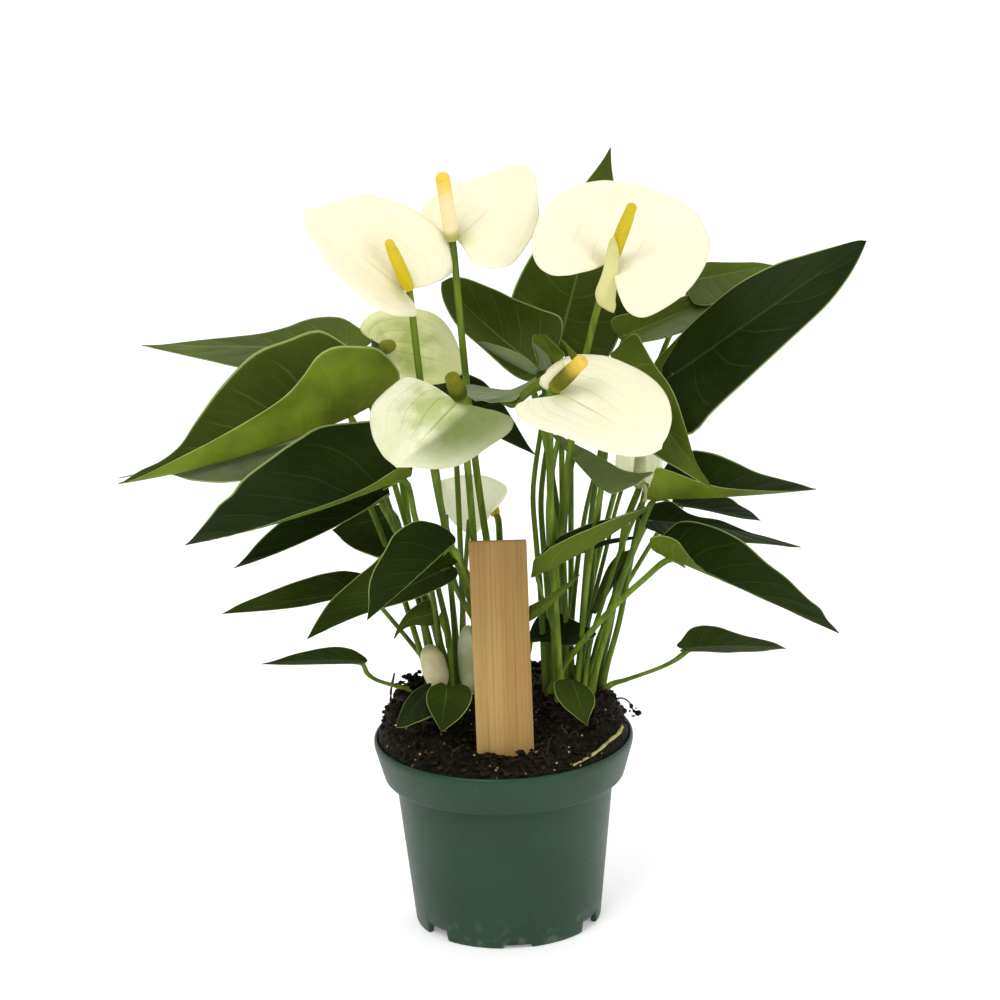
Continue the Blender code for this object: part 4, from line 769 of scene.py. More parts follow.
def soil_height(x, y):
    """Top of the root ball: steep at the rim, nearly level inside, lower in front."""
    reach = min(math.hypot(x, y) / SOIL_REACH, 1)
    back = min(max((y + SOIL_FRONT_END) / SOIL_FRONT_END, 0), 1)
    lift = SOIL_FRONT_LIFT + (SOIL_BACK_LIFT - SOIL_FRONT_LIFT) * back
    return SOIL_EDGE_Z + lift * (1 - reach ** 12)


def stake_place(points):
    """Puts the upright stake in its place, with its lean."""
    lean = math.tan(math.radians(STAKE_LEAN))
    x, y, z = np.moveaxis(points, -1, 0)
    return np.stack([x + STAKE_X - (z - POT_HEIGHT) * lean, y + STAKE_Y, z], -1)


def stem_path(root, top, start=None, arrive=None):
    """A stem from its root to its top: straight in the soil, then a curve that bends outwards."""
    root = np.array((*root, soil_height(*root)), float)
    top = np.array(top, float)
    span = np.linalg.norm(top - root)
    out = unit((top - root) * (1, 1, 0))
    way = unit(np.array(start or out * START_LEAN + UP, float))
    end = unit(np.array(arrive or out * ARRIVE_LEAN + UP, float))
    foot = unit(way + FOOT_UPRIGHT * UP)
    first = root + foot * FOOT_RISE
    one, two = first + way * span * START_PULL, top - end * span * ARRIVE_PULL
    t = np.linspace(0, 1, STEM_STEPS)[:, None]
    curve = (1 - t) ** 3 * first + 3 * t * (1 - t) ** 2 * one + 3 * t ** 2 * (1 - t) * two + t ** 3 * top
    return np.vstack([root - foot * ROOT_DEPTH, curve])


def nearest(a, b, c, d):
    """Closest places, from 0 to 1, on the lines a to b and c to d, for whole arrays."""
    u, v, w = b - a, d - c, a - c
    uu, uv, vv = (u * u).sum(-1), (u * v).sum(-1), (v * v).sum(-1)
    uw, vw = (u * w).sum(-1), (v * w).sum(-1)
    s = np.clip((uv * vw - vv * uw) / np.maximum(uu * vv - uv * uv, 1e-6), 0, 1)
    t = np.clip((uv * s + vw) / np.maximum(vv, 1e-6), 0, 1)
    return np.clip((uv * t - uw) / np.maximum(uu, 1e-6), 0, 1), t


def part_stems(paths, radii, holds, sheets):
    """Moves stems clear of each other and of the blades, a little at a time; ends stay."""
    points = np.array(paths)
    count, steps = points.shape[:2]
    owner = np.repeat(np.arange(count), steps - 1)
    index = np.tile(np.arange(steps - 1), count)
    radii = np.array(radii)
    one, two = np.triu_indices(len(owner), 1)
    other = owner[one] != owner[two]
    one, two = one[other], two[other]
    need = radii[owner[one]] + radii[owner[two]] + STEM_GAP
    by, grains = [], []
    for who, grid in sheets:
        for k in np.flatnonzero(owner != who):
            middle = (points[owner[k], index[k]] + points[owner[k], index[k] + 1]) / 2
            reach = np.linalg.norm(points[owner[k], index[k]] - middle) + SHEET_WATCH
            close = grid[np.linalg.norm(grid - middle, axis=1) < reach]
            by.append(np.full(len(close), k))
            grains.append(close)
    by, grains = np.concatenate(by), np.concatenate(grains)
    hold = np.repeat(np.array(holds)[:, None, None], steps, axis=1)
    hold[:, (0, 1, -1)] = 0
    for _ in range(STEM_ROUNDS):
        starts, ends = points[owner, index], points[owner, index + 1]
        move = np.zeros_like(points)
        s, t = nearest(starts[one], ends[one], starts[two], ends[two])
        apart = (starts[one] + (ends - starts)[one] * s[:, None]
                 - starts[two] - (ends - starts)[two] * t[:, None])
        along = (ends - starts)[by]
        place = np.clip(((grains - starts[by]) * along).sum(1) / (along * along).sum(1), 0, 1)
        clear = starts[by] + along * place[:, None] - grains
        for pick, share, gap, wish in ((one, s, apart, need), (two, t, -apart, need),
                                       (by, place, clear, radii[owner[by]] + SHEET_GAP)):
            reach = np.linalg.norm(gap, axis=1)
            near = reach < wish
            push = gap[near] * ((wish - reach)[near] / np.maximum(reach[near], 0.05) * STEM_PUSH)[:, None]
            pick, share = pick[near], share[near, None]
            np.add.at(move, (owner[pick], index[pick]), push * (1 - share))
            np.add.at(move, (owner[pick], index[pick] + 1), push * share)
        points += np.clip(move, -1, 1) * hold
        smooth = (points[:, :-2] + points[:, 2:]) / 2 - points[:, 1:-1]
        points[:, 1:-1] += smooth * hold[:, 1:-1] * STEM_SMOOTH
    return list(points)


def leaf_root(leaf):
    """Leaves on the left stand in the left clump, the others in the right one."""
    clump = np.array(LEFT_CLUMP if leaf["base"][0] < 5 else RIGHT_CLUMP, float)
    out = np.array(leaf["base"][:2], float) - clump
    return clump + out * CLUMP_SPREAD


def spread_roots():
    """Roots pushed apart until each has its own hole."""
    names = [*LEAVES, *BLOOMS, *BUDS]
    rows = {**LEAVES, **BLOOMS, **BUDS}
    places = np.array([rows[name].get("root") or leaf_root(rows[name]) for name in names], float)
    for _ in range(ROOT_ROUNDS):
        apart = places[:, None] - places[None]
        reach = np.linalg.norm(apart, axis=2) + np.eye(len(places)) * 99
        push = np.clip(ROOT_SPACING - reach, 0, None)[..., None] * apart / np.maximum(reach, .01)[..., None]
        places += push.sum(1) * ROOT_PUSH
    return dict(zip(names, places))


def leaf_blade(leaf):
    """The blade of one row of the leaf table."""
    return Blade(edge=LEAF_EDGE, **leaf)


def bloom_axis(bloom):
    """The spathe, the place where its spike starts in the notch, and the way the spike stands."""
    blade = Blade(edge=SPATHE_EDGE, **bloom)
    point, _, up = blade.frame(np.array([0.0, 0.05]))
    back = STALK_RADIUS + bloom.get("seat", SPATHE_SEAT)
    foot = point[0] - unit(point[1] - point[0]) * back + up[0] * SPATHE_SEAT_LIFT
    return blade, foot, unit(np.array(bloom["spike"], float) - foot)


def lay_stems():
    """Every stem's path, from its root up to its blade or spathe, and the buds' paths."""
    roots = spread_roots()
    names = [*LEAVES, *BLOOMS, *BUDS]
    paths, radii, sheets = [], [], []
    for name, leaf in LEAVES.items():
        blade = leaf_blade(leaf)
        point, _, up = blade.frame(np.array([JOINT]))
        paths.append(stem_path(roots[name], point[0] - up[0] * PETIOLE_SEAT, leaf.get("start"),
                               leaf.get("arrive")))
        radii.append(PETIOLE_RADIUS)
        sheets.append(blade)
    for name, bloom in BLOOMS.items():
        blade, foot, way = bloom_axis(bloom)
        paths.append(stem_path(roots[name], foot - way * STALK_NECK, bloom.get("start"),
                               bloom.get("arrive") or tuple(way + UP)))
        radii.append(STALK_RADIUS)
        sheets.append(blade)
    for name, bud in BUDS.items():
        root = np.array((*roots[name], soil_height(*roots[name])), float)
        way = unit(np.array(bud["tip"], float) - root)
        reach = np.linalg.norm(np.array(bud["tip"], float) - root)
        paths.append(root + way * np.array([-ROOT_DEPTH, *np.linspace(2, reach, STEM_STEPS)])[:, None])
        radii.append(bud["width"] / 2)
    holds = [0 if name in BUDS else HELD_STEM if name in FIXED_STEMS else 1 for name in names]
    grids = []
    for number, blade in enumerate(sheets):
        # Of each half, only the row of points nearest the joint is watched
        halves = [blade.half_grid(sign, *SHEET_WATCH_GRID)[0] for sign in (1, -1)]
        grids.append((number, np.concatenate(halves)))
    return dict(zip(names, part_stems(paths, radii, holds, grids)))


class Value:
    """A shader socket that Python sums can be done on; each adds its Math node."""

    def __init__(self, finish, socket):
        self.finish, self.socket = finish, socket

    def math(self, operation, *others):
        return self.finish.node("ShaderNodeMath", {"operation": operation}, dict(enumerate(others)))

    def __add__(self, other):
        return self.math("ADD", self, other)

    def __sub__(self, other):
        return self.math("SUBTRACT", self, other)

    def __rsub__(self, other):
        return self.math("SUBTRACT", other, self)

    def __mul__(self, other):
        return self.math("MULTIPLY", self, other)

    def size(self):
        return self.math("ABSOLUTE", self)

    def wave(self):
        return self.math("SINE", self)

    def between(self, low, high):
        """0 below low, 1 above high, and smooth between them."""
        return self.finish.node("ShaderNodeMapRange", {"interpolation_type": "SMOOTHSTEP"},
                                {"Value": self, "From Min": low, "From Max": high})


class Finish:
    """A material, and the nodes that make its colour, roughness and relief."""

    def __init__(self, name, **constants):
        self.material = bpy.data.materials.new(name)
        self.material.use_nodes = True
        self.tree = self.material.node_tree
        self.shader = self.tree.nodes["Principled BSDF"]
        for socket, value in constants.items():
            self.shader.inputs[socket.replace("_", " ")].default_value = value

    def node(self, kind, settings=None, inputs=None, output=0):
        """Adds a shader node, sets it and links or fills its inputs; gives one of its outputs."""
        made = self.tree.nodes.new(kind)
        for key, value in (settings or {}).items():
            setattr(made, key, value)
        for key, value in (inputs or {}).items():
            if isinstance(value, Value):
                self.tree.links.new(value.socket, made.inputs[key])
            else:
                made.inputs[key].default_value = value
        return Value(self, made.outputs[output])

    def where(self, stretch=(1, 1, 1)):
        """The place on the object in metres, stretched along each axis."""
        place = self.node("ShaderNodeTexCoord", output="Object")
        if stretch == (1, 1, 1):
            return place
        return self.node("ShaderNodeVectorMath", {"operation": "MULTIPLY"}, {0: place, 1: stretch})

    def surface(self):
        """The two surface places of a point, such as turn and out on a leaf."""
        place = self.node("ShaderNodeUVMap", {"uv_map": "place"})
        split = self.node("ShaderNodeSeparateXYZ", None, {0: place})
        return split, Value(self, split.socket.node.outputs["Y"])

    def noise(self, scale, detail=3.0, at=None, rough=0.5):
        return self.node("ShaderNodeTexNoise", None,
                         {"Vector": at or self.where(), "Scale": scale, "Detail": detail, "Roughness": rough})

    def cells(self, scale, feature="F1"):
        return self.node("ShaderNodeTexVoronoi", {"feature": feature},
                         {"Vector": self.where(), "Scale": scale})

    def mix(self, factor, one, two):
        """One colour below, another above, by a factor from 0 to 1."""
        pair = [value if isinstance(value, Value) else (*value, 1) for value in (one, two)]
        return self.node("ShaderNodeMix", {"data_type": "RGBA"},
                         {MIX_FACTOR: factor, MIX_ONE: pair[0], MIX_TWO: pair[1]}, output=MIX_RESULT)

    def give(self, colour, roughness, height=None, depth=0.0, strength=0.0):
        """Links what varies over the surface to the shader."""
        self.tree.links.new(colour.socket, self.shader.inputs["Base Color"])
        self.tree.links.new(roughness.socket, self.shader.inputs["Roughness"])
        if height is not None:
            bump = self.node("ShaderNodeBump", None,
                             {"Height": height, "Distance": depth, "Strength": strength})
            self.tree.links.new(bump.socket, self.shader.inputs["Normal"])
        return self.material


def paint(red, green, blue):
    """A colour as a screen shows it, from 0 to 255, turned into the shader's linear values."""
    return tuple(c / 12.92 if c <= 0.04045 else ((c + 0.055) / 1.055) ** 2.4
                 for c in (red / 255, green / 255, blue / 255))


def leaf_face(name, low, high, vein, rim, lines=0.12):
    """One face of a leaf: mottled green, arched side veins, a midrib and a thin pale margin."""
    finish = Finish(name, IOR=1.45, Specular_IOR_Level=.05)
    turn, out = finish.surface()
    edge = (out - 0.5).size() * 2
    colour = finish.mix(finish.noise(30, 4).between(.3, .7), low, high)
    drift = (finish.noise(60, 2) - .5) * .03
    bend = (turn - edge * edge * VEIN_ARCH + drift) * (math.pi * LEAF_VEINS)
    inner = (1 - edge.between(.7, .97)) * turn.between(.01, .06)
    side_vein = (1 - bend.wave().size().between(0, .14)) * inner
    small_vein = (1 - (bend * 3).wave().size().between(0, .4)) * inner
    rib = 1 - edge.between(.008, .04)
    net = finish.cells(700, feature="DISTANCE_TO_EDGE").between(0, .18)
    colour = finish.mix(side_vein * lines + small_vein * (lines * .3), colour, vein)
    colour = finish.mix(rib * min(lines * 2.4, 1), colour, vein)
    colour = finish.mix(edge.between(.965, .988) * .75, colour, rim)
    roughness = finish.noise(120, 3) * .16 + .3 + side_vein * .06
    height = finish.noise(900, 2) * .3 - side_vein * .5 - small_vein * .2 + net * .25
    return finish.give(colour, roughness, height, .0002, .5)


def spathe_face(name, body, shade, vein, lines=0.3, flush=None, throat_green_and_shade=None, through=0.0):
    """One face of a spathe: waxy, with faint veins that start at the joint.

    flush greens its middle, throat darkens one side of the part by the spike, partly in its own
    green and partly as painted shade, and through is a painted glow in the body colour that
    stands in for light from behind.
    """
    # The emission in the body colour, as strong as through, is a painted glow that stands in for light from
    # behind.
    finish = Finish(name, IOR=1.45, Specular_IOR_Level=.2, Emission_Color=(*body, 1),
                    Emission_Strength=through)
    reach, out = finish.surface()
    edge = (out - 0.5).size() * 2
    bent = edge + (finish.noise(45, 2) - .5) * .12
    far = 1 - reach.between(.12, .5 + lines * .6)
    line = (1 - (bent * (math.pi * SPATHE_VEINS)).wave().size().between(0, .16)) * far
    line = line * (1 - edge.between(.8, .95)) * reach.between(.03, .1)
    colour = finish.mix(finish.noise(40, 4).between(.35, .7), body, shade)
    if flush:
        patch = finish.noise(75, 3).between(.36, .64) * (1 - edge.between(.55, .92))
        patch = patch * (1 - reach.between(.35, .85))
        colour = finish.mix(patch * .8, colour, flush)
    if throat_green_and_shade:
        # One side of the part by the spike turns deep green: partly the spathe's own green, partly painted
        # shade.
        deep = (1 - reach.between(.4, 1.05)) * out.between(.5, .66)
        colour = finish.mix(deep * .88, colour, throat_green_and_shade)
    net = finish.cells(420, feature="DISTANCE_TO_EDGE").between(0, .12)
    colour = finish.mix((1 - net) * lines * .12, colour, vein)
    colour = finish.mix(line * lines, colour, vein)
    colour = finish.mix((1 - edge.between(.0, .03)) * far * lines, colour, vein)
    colour = finish.mix((1 - reach.between(.02, .2)) * .5, colour, paint(176, 186, 100))
    roughness = finish.noise(90, 3) * .14 + .34
    height = finish.noise(700, 2) * .3 - line * .5 + net * .1
    return finish.give(colour, roughness, height, .0003, .5)


def stem_finish(name, low, high, blush):
    """A stem: paler and redder near the soil, with faint lengthwise streaks."""
    finish = Finish(name, IOR=1.45, Specular_IOR_Level=.15)
    _, along = finish.surface()
    streak = finish.noise(240, 3, at=finish.where((1, 1, .12))).between(.3, .7)
    colour = finish.mix(streak, low, high)
    colour = finish.mix((1 - along.between(.02, .22)) * .7, colour, blush)
    roughness = finish.noise(200, 2) * .15 + .36
    return finish.give(colour, roughness, streak, .0001, .4)


def spadix_finish(name, foot, tip, pit_shade_and_marks, turned=.55, collar=0.0):
    """A flower spike: rows of small blunt florets, coloured from foot to tip, with painted shade between
    them.
    """
    finish = Finish(name, IOR=1.45, Specular_IOR_Level=.12)
    around, along = finish.surface()
    row, climb = around * (math.pi * FLORETS_ROUND), along * (math.pi * FLORETS_ALONG)
    mound = (row + climb).wave().size() * (row - climb).wave().size()
    colour = finish.mix(along.between(turned - .28, turned + .16), foot, tip)
    colour = finish.mix((1 - along.between(.05, .2)) * collar, colour, paint(140, 150, 50))
    # Painted shade in the crevices between the florets; then darker marks on their tops and random darker
    # flecks.
    colour = finish.mix((1 - mound.between(.0, .3)) * .55, colour, pit_shade_and_marks)
    colour = finish.mix(mound.between(.86, .98) * .35, colour, pit_shade_and_marks)
    colour = finish.mix(finish.noise(260, 2).between(.55, .8) * .3, colour, pit_shade_and_marks)
    return finish.give(colour, finish.noise(500, 2) * .2 + .38, mound + finish.noise(1500, 2) * .3, .0002, .5)


def soil_finish(name, dark, brown, pale):
    """Damp peat: near black, with brown fibre and pale flecks."""
    finish = Finish(name, IOR=1.4, Specular_IOR_Level=.15)
    crumb = finish.noise(420, 5, rough=.65)
    colour = finish.mix(crumb.between(.42, .66), dark, brown)
    fleck = finish.cells(260).between(.1, .17)
    some = finish.noise(70, 2).between(.44, .58)
    colour = finish.mix((1 - fleck) * some * .85, colour, pale)
    roughness = finish.noise(300, 2) * .35 + .55
    return finish.give(colour, roughness, crumb, .0012, .9)


def wood_finish(name, light, body, dark):
    """Bare planed softwood: long soft grain, a few darker lines, browner towards the top."""
    finish = Finish(name, IOR=1.45, Specular_IOR_Level=.3)
    wide = finish.noise(90, 3, at=finish.where((1, .3, .03)))
    fine = finish.noise(700, 3, at=finish.where((1, .4, .01)), rough=.6)
    high = finish.node("ShaderNodeSeparateXYZ", None, {0: finish.where()}, output="Z").between(.12, .2)
    colour = finish.mix(wide.between(.36, .66), light, body)
    colour = finish.mix(fine.between(.45, .72) * .4, colour, dark)
    pore = finish.noise(2600, 2, at=finish.where((1, 1, .03))).between(.6, .75)
    colour = finish.mix(pore * .25, colour, dark)
    colour = finish.mix(high * .38, colour, dark)
    return finish.give(colour, fine * .2 + .55, fine + pore * .4, .00012, .45)


def plastic_finish(name, body, shade, dust):
    """Thin moulded pot plastic: satin, slightly cloudy, with dust and small scuffs."""
    finish = Finish(name, IOR=1.46, Specular_IOR_Level=.35)
    cloud = finish.noise(28, 4)
    colour = finish.mix(cloud.between(.35, .7), body, shade)
    speck = finish.cells(150).between(.035, .06)
    some = finish.noise(60, 2).between(.5, .62)
    colour = finish.mix((1 - speck) * some * .5, colour, dust)
    low = finish.node("ShaderNodeSeparateXYZ", None, {0: finish.where()}, output="Z")
    soiled = (1 - low.between(.0, .02)) * finish.noise(160, 4).between(.5, .75)
    colour = finish.mix(soiled * .35, colour, dust)
    scuff = finish.noise(260, 3, at=finish.where((.25, .25, 2.5))).between(.62, .72)
    roughness = cloud * .18 + .34 + scuff * .12
    height = finish.noise(1400, 3) * .35 + scuff * .1
    return finish.give(colour, roughness, height, .00015, .35)


def plain_finish(name, one, two, scale, rough):
    """Small things in the soil: two mottled colours."""
    finish = Finish(name)
    mottle = finish.noise(scale, 4)
    colour = finish.mix(mottle.between(.4, .65), one, two)
    return finish.give(colour, mottle * .2 + rough, finish.noise(scale * 3, 3), .0004, .7)


def sized_stem(stem, count):
    """A stem's path with even steps along its curve."""
    dense = spline(stem, np.linspace(0, 1, 240))
    reach = length_along(dense)
    want = np.linspace(0, reach[-1], count)
    return np.stack([np.interp(want, reach, dense[:, k]) for k in range(3)], 1), want


def lathe(form, rings, sides, lift):
    """A closed turned form from rings of radius, height and share of the lift at each turn."""
    turn = np.linspace(0, 2 * np.pi, sides + 1)
    turn[-1] = 0
    rings = np.array(rings, float)
    height = np.maximum(rings[:, 1:2] + 0 * turn, rings[:, 2:3] * lift(np.degrees(turn)))
    points = np.stack([rings[:, :1] * np.cos(turn), rings[:, :1] * np.sin(turn), height], -1)
    form.add(points)


def round_corner(a, b, c, radius, steps=5):
    """Points that round the corner b between a and c."""
    a, b, c = (np.array(p, float) for p in (a, b, c))
    start, end = b + unit(a - b) * radius, b + unit(c - b) * radius
    t = np.linspace(0, 1, steps)[:, None]
    return (1 - t) ** 2 * start + 2 * t * (1 - t) * b + t ** 2 * end


def notch_lift(degrees):
    """How high the foot of the pot is cut away at each turn; 0 is the front."""
    lift = 0 * degrees
    half = math.degrees(NOTCH_WIDTH / 2 / BASE_RADIUS)
    for turns, height in ((DEEP_NOTCH_TURNS, FLOOR_UNDER - 0.4), (SHALLOW_NOTCH_TURNS, SHALLOW_NOTCH_HEIGHT)):
        for turn in turns:
            away = np.abs((degrees + 90 - turn + 180) % 360 - 180)
            lift = np.maximum(lift, height * smoothstep(half + .8, half - .8, away))
    return lift


def dress_pot(settings):
    """The pot as one turned form, with its rim band, floor and foot notches."""
    band_z = POT_HEIGHT - RIM_BAND
    band = RIM_RADIUS - RIM_TAPER
    foot = BASE_RADIUS - FOOT_WIDTH
    outer = [(BASE_RADIUS, 0.9), (BODY_TOP_RADIUS, band_z - 1.6)]
    rings = [(0, FLOOR_UNDER), (foot - .5, FLOOR_UNDER), (foot, FLOOR_UNDER - .5), (foot, .3), (foot + .3, 0),
             (BASE_RADIUS - 0.8, 0), (BASE_RADIUS - .2, 0.3)]
    rings += [tuple(np.array(outer[0]) + (np.array(outer[1]) - outer[0]) * t) for t in np.linspace(0, 1, 12)]
    corner = (BODY_TOP_RADIUS + .35, band_z - .3)
    rings += [tuple(p) for p in round_corner(outer[1], corner, (band - 1, band_z), .9)]
    rings += [tuple(p) for p in round_corner(corner, (band, band_z), (RIM_RADIUS, POT_HEIGHT), 1.1)]
    rings += [tuple(p) for p in round_corner((band, band_z), (RIM_RADIUS - .1, POT_HEIGHT - 3.4),
                                             (RIM_RADIUS, POT_HEIGHT - 2.2), .8, 4)]
    lip = ((0, 2.0), (.05, 1.0), (.35, .3), (.8, 0), (1.3, .15), (1.7, .8))
    rings += [(RIM_RADIUS - inward, POT_HEIGHT - down) for inward, down in lip]
    rings += [(band - WALL, band_z + 1.8), (BODY_TOP_RADIUS - WALL, band_z + .4),
              (BASE_RADIUS - WALL + .6, FLOOR_UNDER + FLOOR_THICK), (0, FLOOR_UNDER + FLOOR_THICK)]
    low = [1.0 if z < FLOOR_UNDER - 1 and r >= foot - 1e-6 else 0.0 for r, z in rings]
    form = Form()
    lathe(form, [(r, z, k) for (r, z), k in zip(rings, low)], 360, notch_lift)
    body = plastic_finish("pot_plastic", settings.colour, [c * .82 for c in settings.colour],
                          paint(120, 128, 112))
    form.piece("growers_pot", [body], "pot", ["pot"])


def rough_ground(x, y, seed, size):
    """Soft random bumps of about one unit, for whole arrays of places."""
    return np.array([noise.noise(Vector((float(a) / size, float(b) / size, seed)))
                     for a, b in zip(np.ravel(x), np.ravel(y))]).reshape(np.shape(x))


def ground(x, y):
    """The dressed top of the soil at one place."""
    far = math.hypot(x, y) / SOIL_REACH
    loose = sum(height * noise.noise(Vector((x / wide, y / wide, seed))) for height, wide, seed in SOIL_LUMPS)
    (hollow_x, hollow_y), (wide, deep) = HOLLOW_PLACE, HOLLOW_SIZE
    dip = HOLLOW_DEPTH * math.exp(-((x - hollow_x) / wide) ** 2 - ((y - hollow_y) / deep) ** 2)
    return soil_height(x, y) + (loose - dip) * min(1, 4 * (1.02 - min(far, 1.02)))


def dress_soil():
    """The root ball's top, in lumps and hollows, down to the inside of the pot."""
    sides, steps = 240, 90
    turn = np.linspace(0, 2 * np.pi, sides + 1)
    turn[-1] = 0
    reach = PEAT_REACH * (1 - np.linspace(0, 1, steps) ** 1.15)
    x, y = reach[:, None] * np.cos(turn), reach[:, None] * np.sin(turn)
    z = np.vectorize(ground)(x, y)
    inside = smoothstep(0, .05, 1 - reach / PEAT_REACH)[:, None]
    fine = (rough_ground(x, y, 11.0, 2.2) + .6 * rough_ground(x, y, 13.0, 1.1)) * .8
    z = z + fine * (.35 + .65 * inside)
    z[-1] = z[-1].mean()
    wall = np.array([(0, SOIL_BED), (BODY_TOP_RADIUS - 3, SOIL_BED),
                     (RIM_RADIUS - RIM_TAPER - WALL - 0.7, SOIL_BED + 4),
                     (RIM_RADIUS - 2.2, SOIL_EDGE_Z - 3)])
    below = np.stack([wall[:, :1] * np.cos(turn), wall[:, :1] * np.sin(turn), wall[:, 1:] + 0 * turn], -1)
    form = Form()
    form.add(np.concatenate([below, np.stack([x, y, z], -1)]))
    peat = soil_finish("peat", paint(9, 9, 5), paint(40, 32, 18), paint(196, 166, 118))
    form.piece("root_ball", [peat], "soil", ["soil"])


def lump(form, centre, size, chance):
    """An irregular crumb: a small ball pushed in and out."""
    turn = np.linspace(0, 2 * np.pi, 9)
    tilt = np.linspace(0, np.pi, 6)
    stretch = np.array([chance.uniform(.7, 1.35), chance.uniform(.7, 1.35), chance.uniform(.5, 1.0)])
    way = np.stack([np.sin(tilt)[:, None] * np.cos(turn), np.sin(tilt)[:, None] * np.sin(turn),
                    np.cos(tilt)[:, None] + 0 * turn], -1)
    push = np.array([[chance.uniform(.72, 1.28) for _ in turn] for _ in tilt])
    push[:, -1] = push[:, 0]
    push[0], push[-1] = push[0, 0], push[-1, 0]
    form.add(np.array(centre) + way[::-1] * push[..., None] * stretch * size)


def scatter(chance, reach, crowd):
    """A random place on the soil; a small crowd puts more of them near the rim."""
    turn, far = chance.uniform(0, 2 * math.pi), reach * chance.random() ** crowd
    return far * math.cos(turn), far * math.sin(turn)


def dress_litter(settings):
    """Crumbs, fibres and perlite that lie on the root ball."""
    chance = random.Random(21)
    crumbs, grit, fibres = Form(), Form(), Form()
    for _ in range(settings.crumbs):
        x, y = scatter(chance, LITTER_REACH, .42)
        size = 0.6 + 1.6 * chance.random() ** 2.2
        lump(crumbs, (x, y, ground(x, y) + size * .25), size, chance)
    for _ in range(settings.perlite):
        x, y = scatter(chance, LITTER_REACH, .5)
        size = .3 + .4 * chance.random() ** 2
        lump(grit, (x, y, ground(x, y) + size * .9), size, chance)
    for _ in range(settings.fibres):
        x, y = scatter(chance, FIBRE_REACH, .5)
        heading, bend, long = chance.uniform(0, 2 * math.pi), chance.uniform(-.5, .5), chance.uniform(4, 14)
        path = []
        for k in range(FIBRE_STEPS + 1):
            if math.hypot(x, y) > FIBRE_STOP:
                break
            path.append((x, y, ground(x, y) + .5 + 1.1 * math.sin(math.pi * k / FIBRE_STEPS)))
            heading += bend + chance.uniform(-.5, .5)
            x += math.cos(heading) * long / FIBRE_STEPS
            y += math.sin(heading) * long / FIBRE_STEPS
        if len(path) > 4:
            fibres.tube(path, np.linspace(.24, .08, len(path)), 5)
    crumb = soil_finish("crumb", paint(14, 12, 8), paint(52, 40, 25), paint(188, 142, 84))
    crumbs.piece("peat_crumbs", [crumb], "soil")
    white = plain_finish("perlite_white", paint(225, 220, 205), paint(190, 180, 160), 400, .7)
    grit.piece("perlite", [white], "soil")
    brown = plain_finish("fibre_brown", paint(82, 58, 34), paint(44, 30, 18), 500, .7)
    fibres.piece("peat_fibres", [brown], "soil")
    dress_single_things(settings, chance, crumb, brown)


def dress_single_things(settings, chance, crumb, brown):
    """The mossy lump, the crumbs that hang over the rim, the dark twig and the pale root."""
    moss, spill, twig, root = Form(), Form(), Form(), Form()
    for _ in range(settings.moss):
        way = unit(np.array([chance.gauss(0, 1) for _ in range(3)])) * chance.random() ** .8
        lump(moss, np.array(MOSS_PLACE) + way * MOSS_REACH, .4 + 1.1 * chance.random() ** 2, chance)
    for place, size in zip(SPILL_PLACES, SPILL_SIZES):
        lump(spill, place, size, chance)
    spill.tube(spline(SPILL_ROOT, np.linspace(0, 1, 12)), np.linspace(.45, .3, 12), 6)
    twig.tube(spline(TWIG, np.linspace(0, 1, 12)), .55 + .15 * np.sin(np.arange(12) * 2.2), 7)
    steps = np.linspace(0, 1, 40)
    path = spline([(x, y, ground(x, y) + .9) for x, y in PALE_ROOT], steps)
    root.tube(path, .95 - .45 * (1 - steps) + .12 * np.sin(steps * 37), 9)
    black = soil_finish("moss", paint(6, 6, 4), paint(26, 24, 13), paint(96, 80, 46))
    moss.piece("moss_clump", [black], "soil")
    spill.piece("rim_crumbs", [crumb], "soil")
    twig.piece("dark_twig", [brown], "soil")
    pale = plain_finish("root_pale", paint(176, 168, 104), paint(140, 134, 70), 300, .6)
    root.piece("pale_root", [pale], "soil")


def dress_stake(settings):
    """A bare planed stake with eased edges."""
    steps = 60
    outline = []
    for sx, sy in ((1, -1), (1, 1), (-1, 1), (-1, -1)):
        cx, cy = sx * (STAKE_WIDTH / 2 - STAKE_EDGE), sy * (STAKE_THICK / 2 - STAKE_EDGE)
        for turn in np.linspace(-45, 45, 4):
            way = math.atan2(sy, sx) + math.radians(turn)
            outline.append((cx + STAKE_EDGE * math.cos(way), cy + STAKE_EDGE * math.sin(way)))
    outline.append(outline[0])
    outline = np.array(outline)
    heights = [STAKE_BOTTOM, *np.linspace(STAKE_BOTTOM, STAKE_TOP - STAKE_EDGE, steps), STAKE_TOP, STAKE_TOP]
    shrink = [0, *[1] * steps, .97, 0]
    points = np.array([[(x * s, y * s, z) for x, y in outline] for z, s in zip(heights, shrink)])
    form = Form()
    form.add(stake_place(points))
    wood = wood_finish("planed_wood", settings.light, settings.body, settings.dark)
    form.piece("wooden_stake", [wood], "stake", ["stake"])


def blend(one, two, share):
    """A colour between two, by the second one's share."""
    return [a * (1 - share) + b * share for a, b in zip(one, two)]


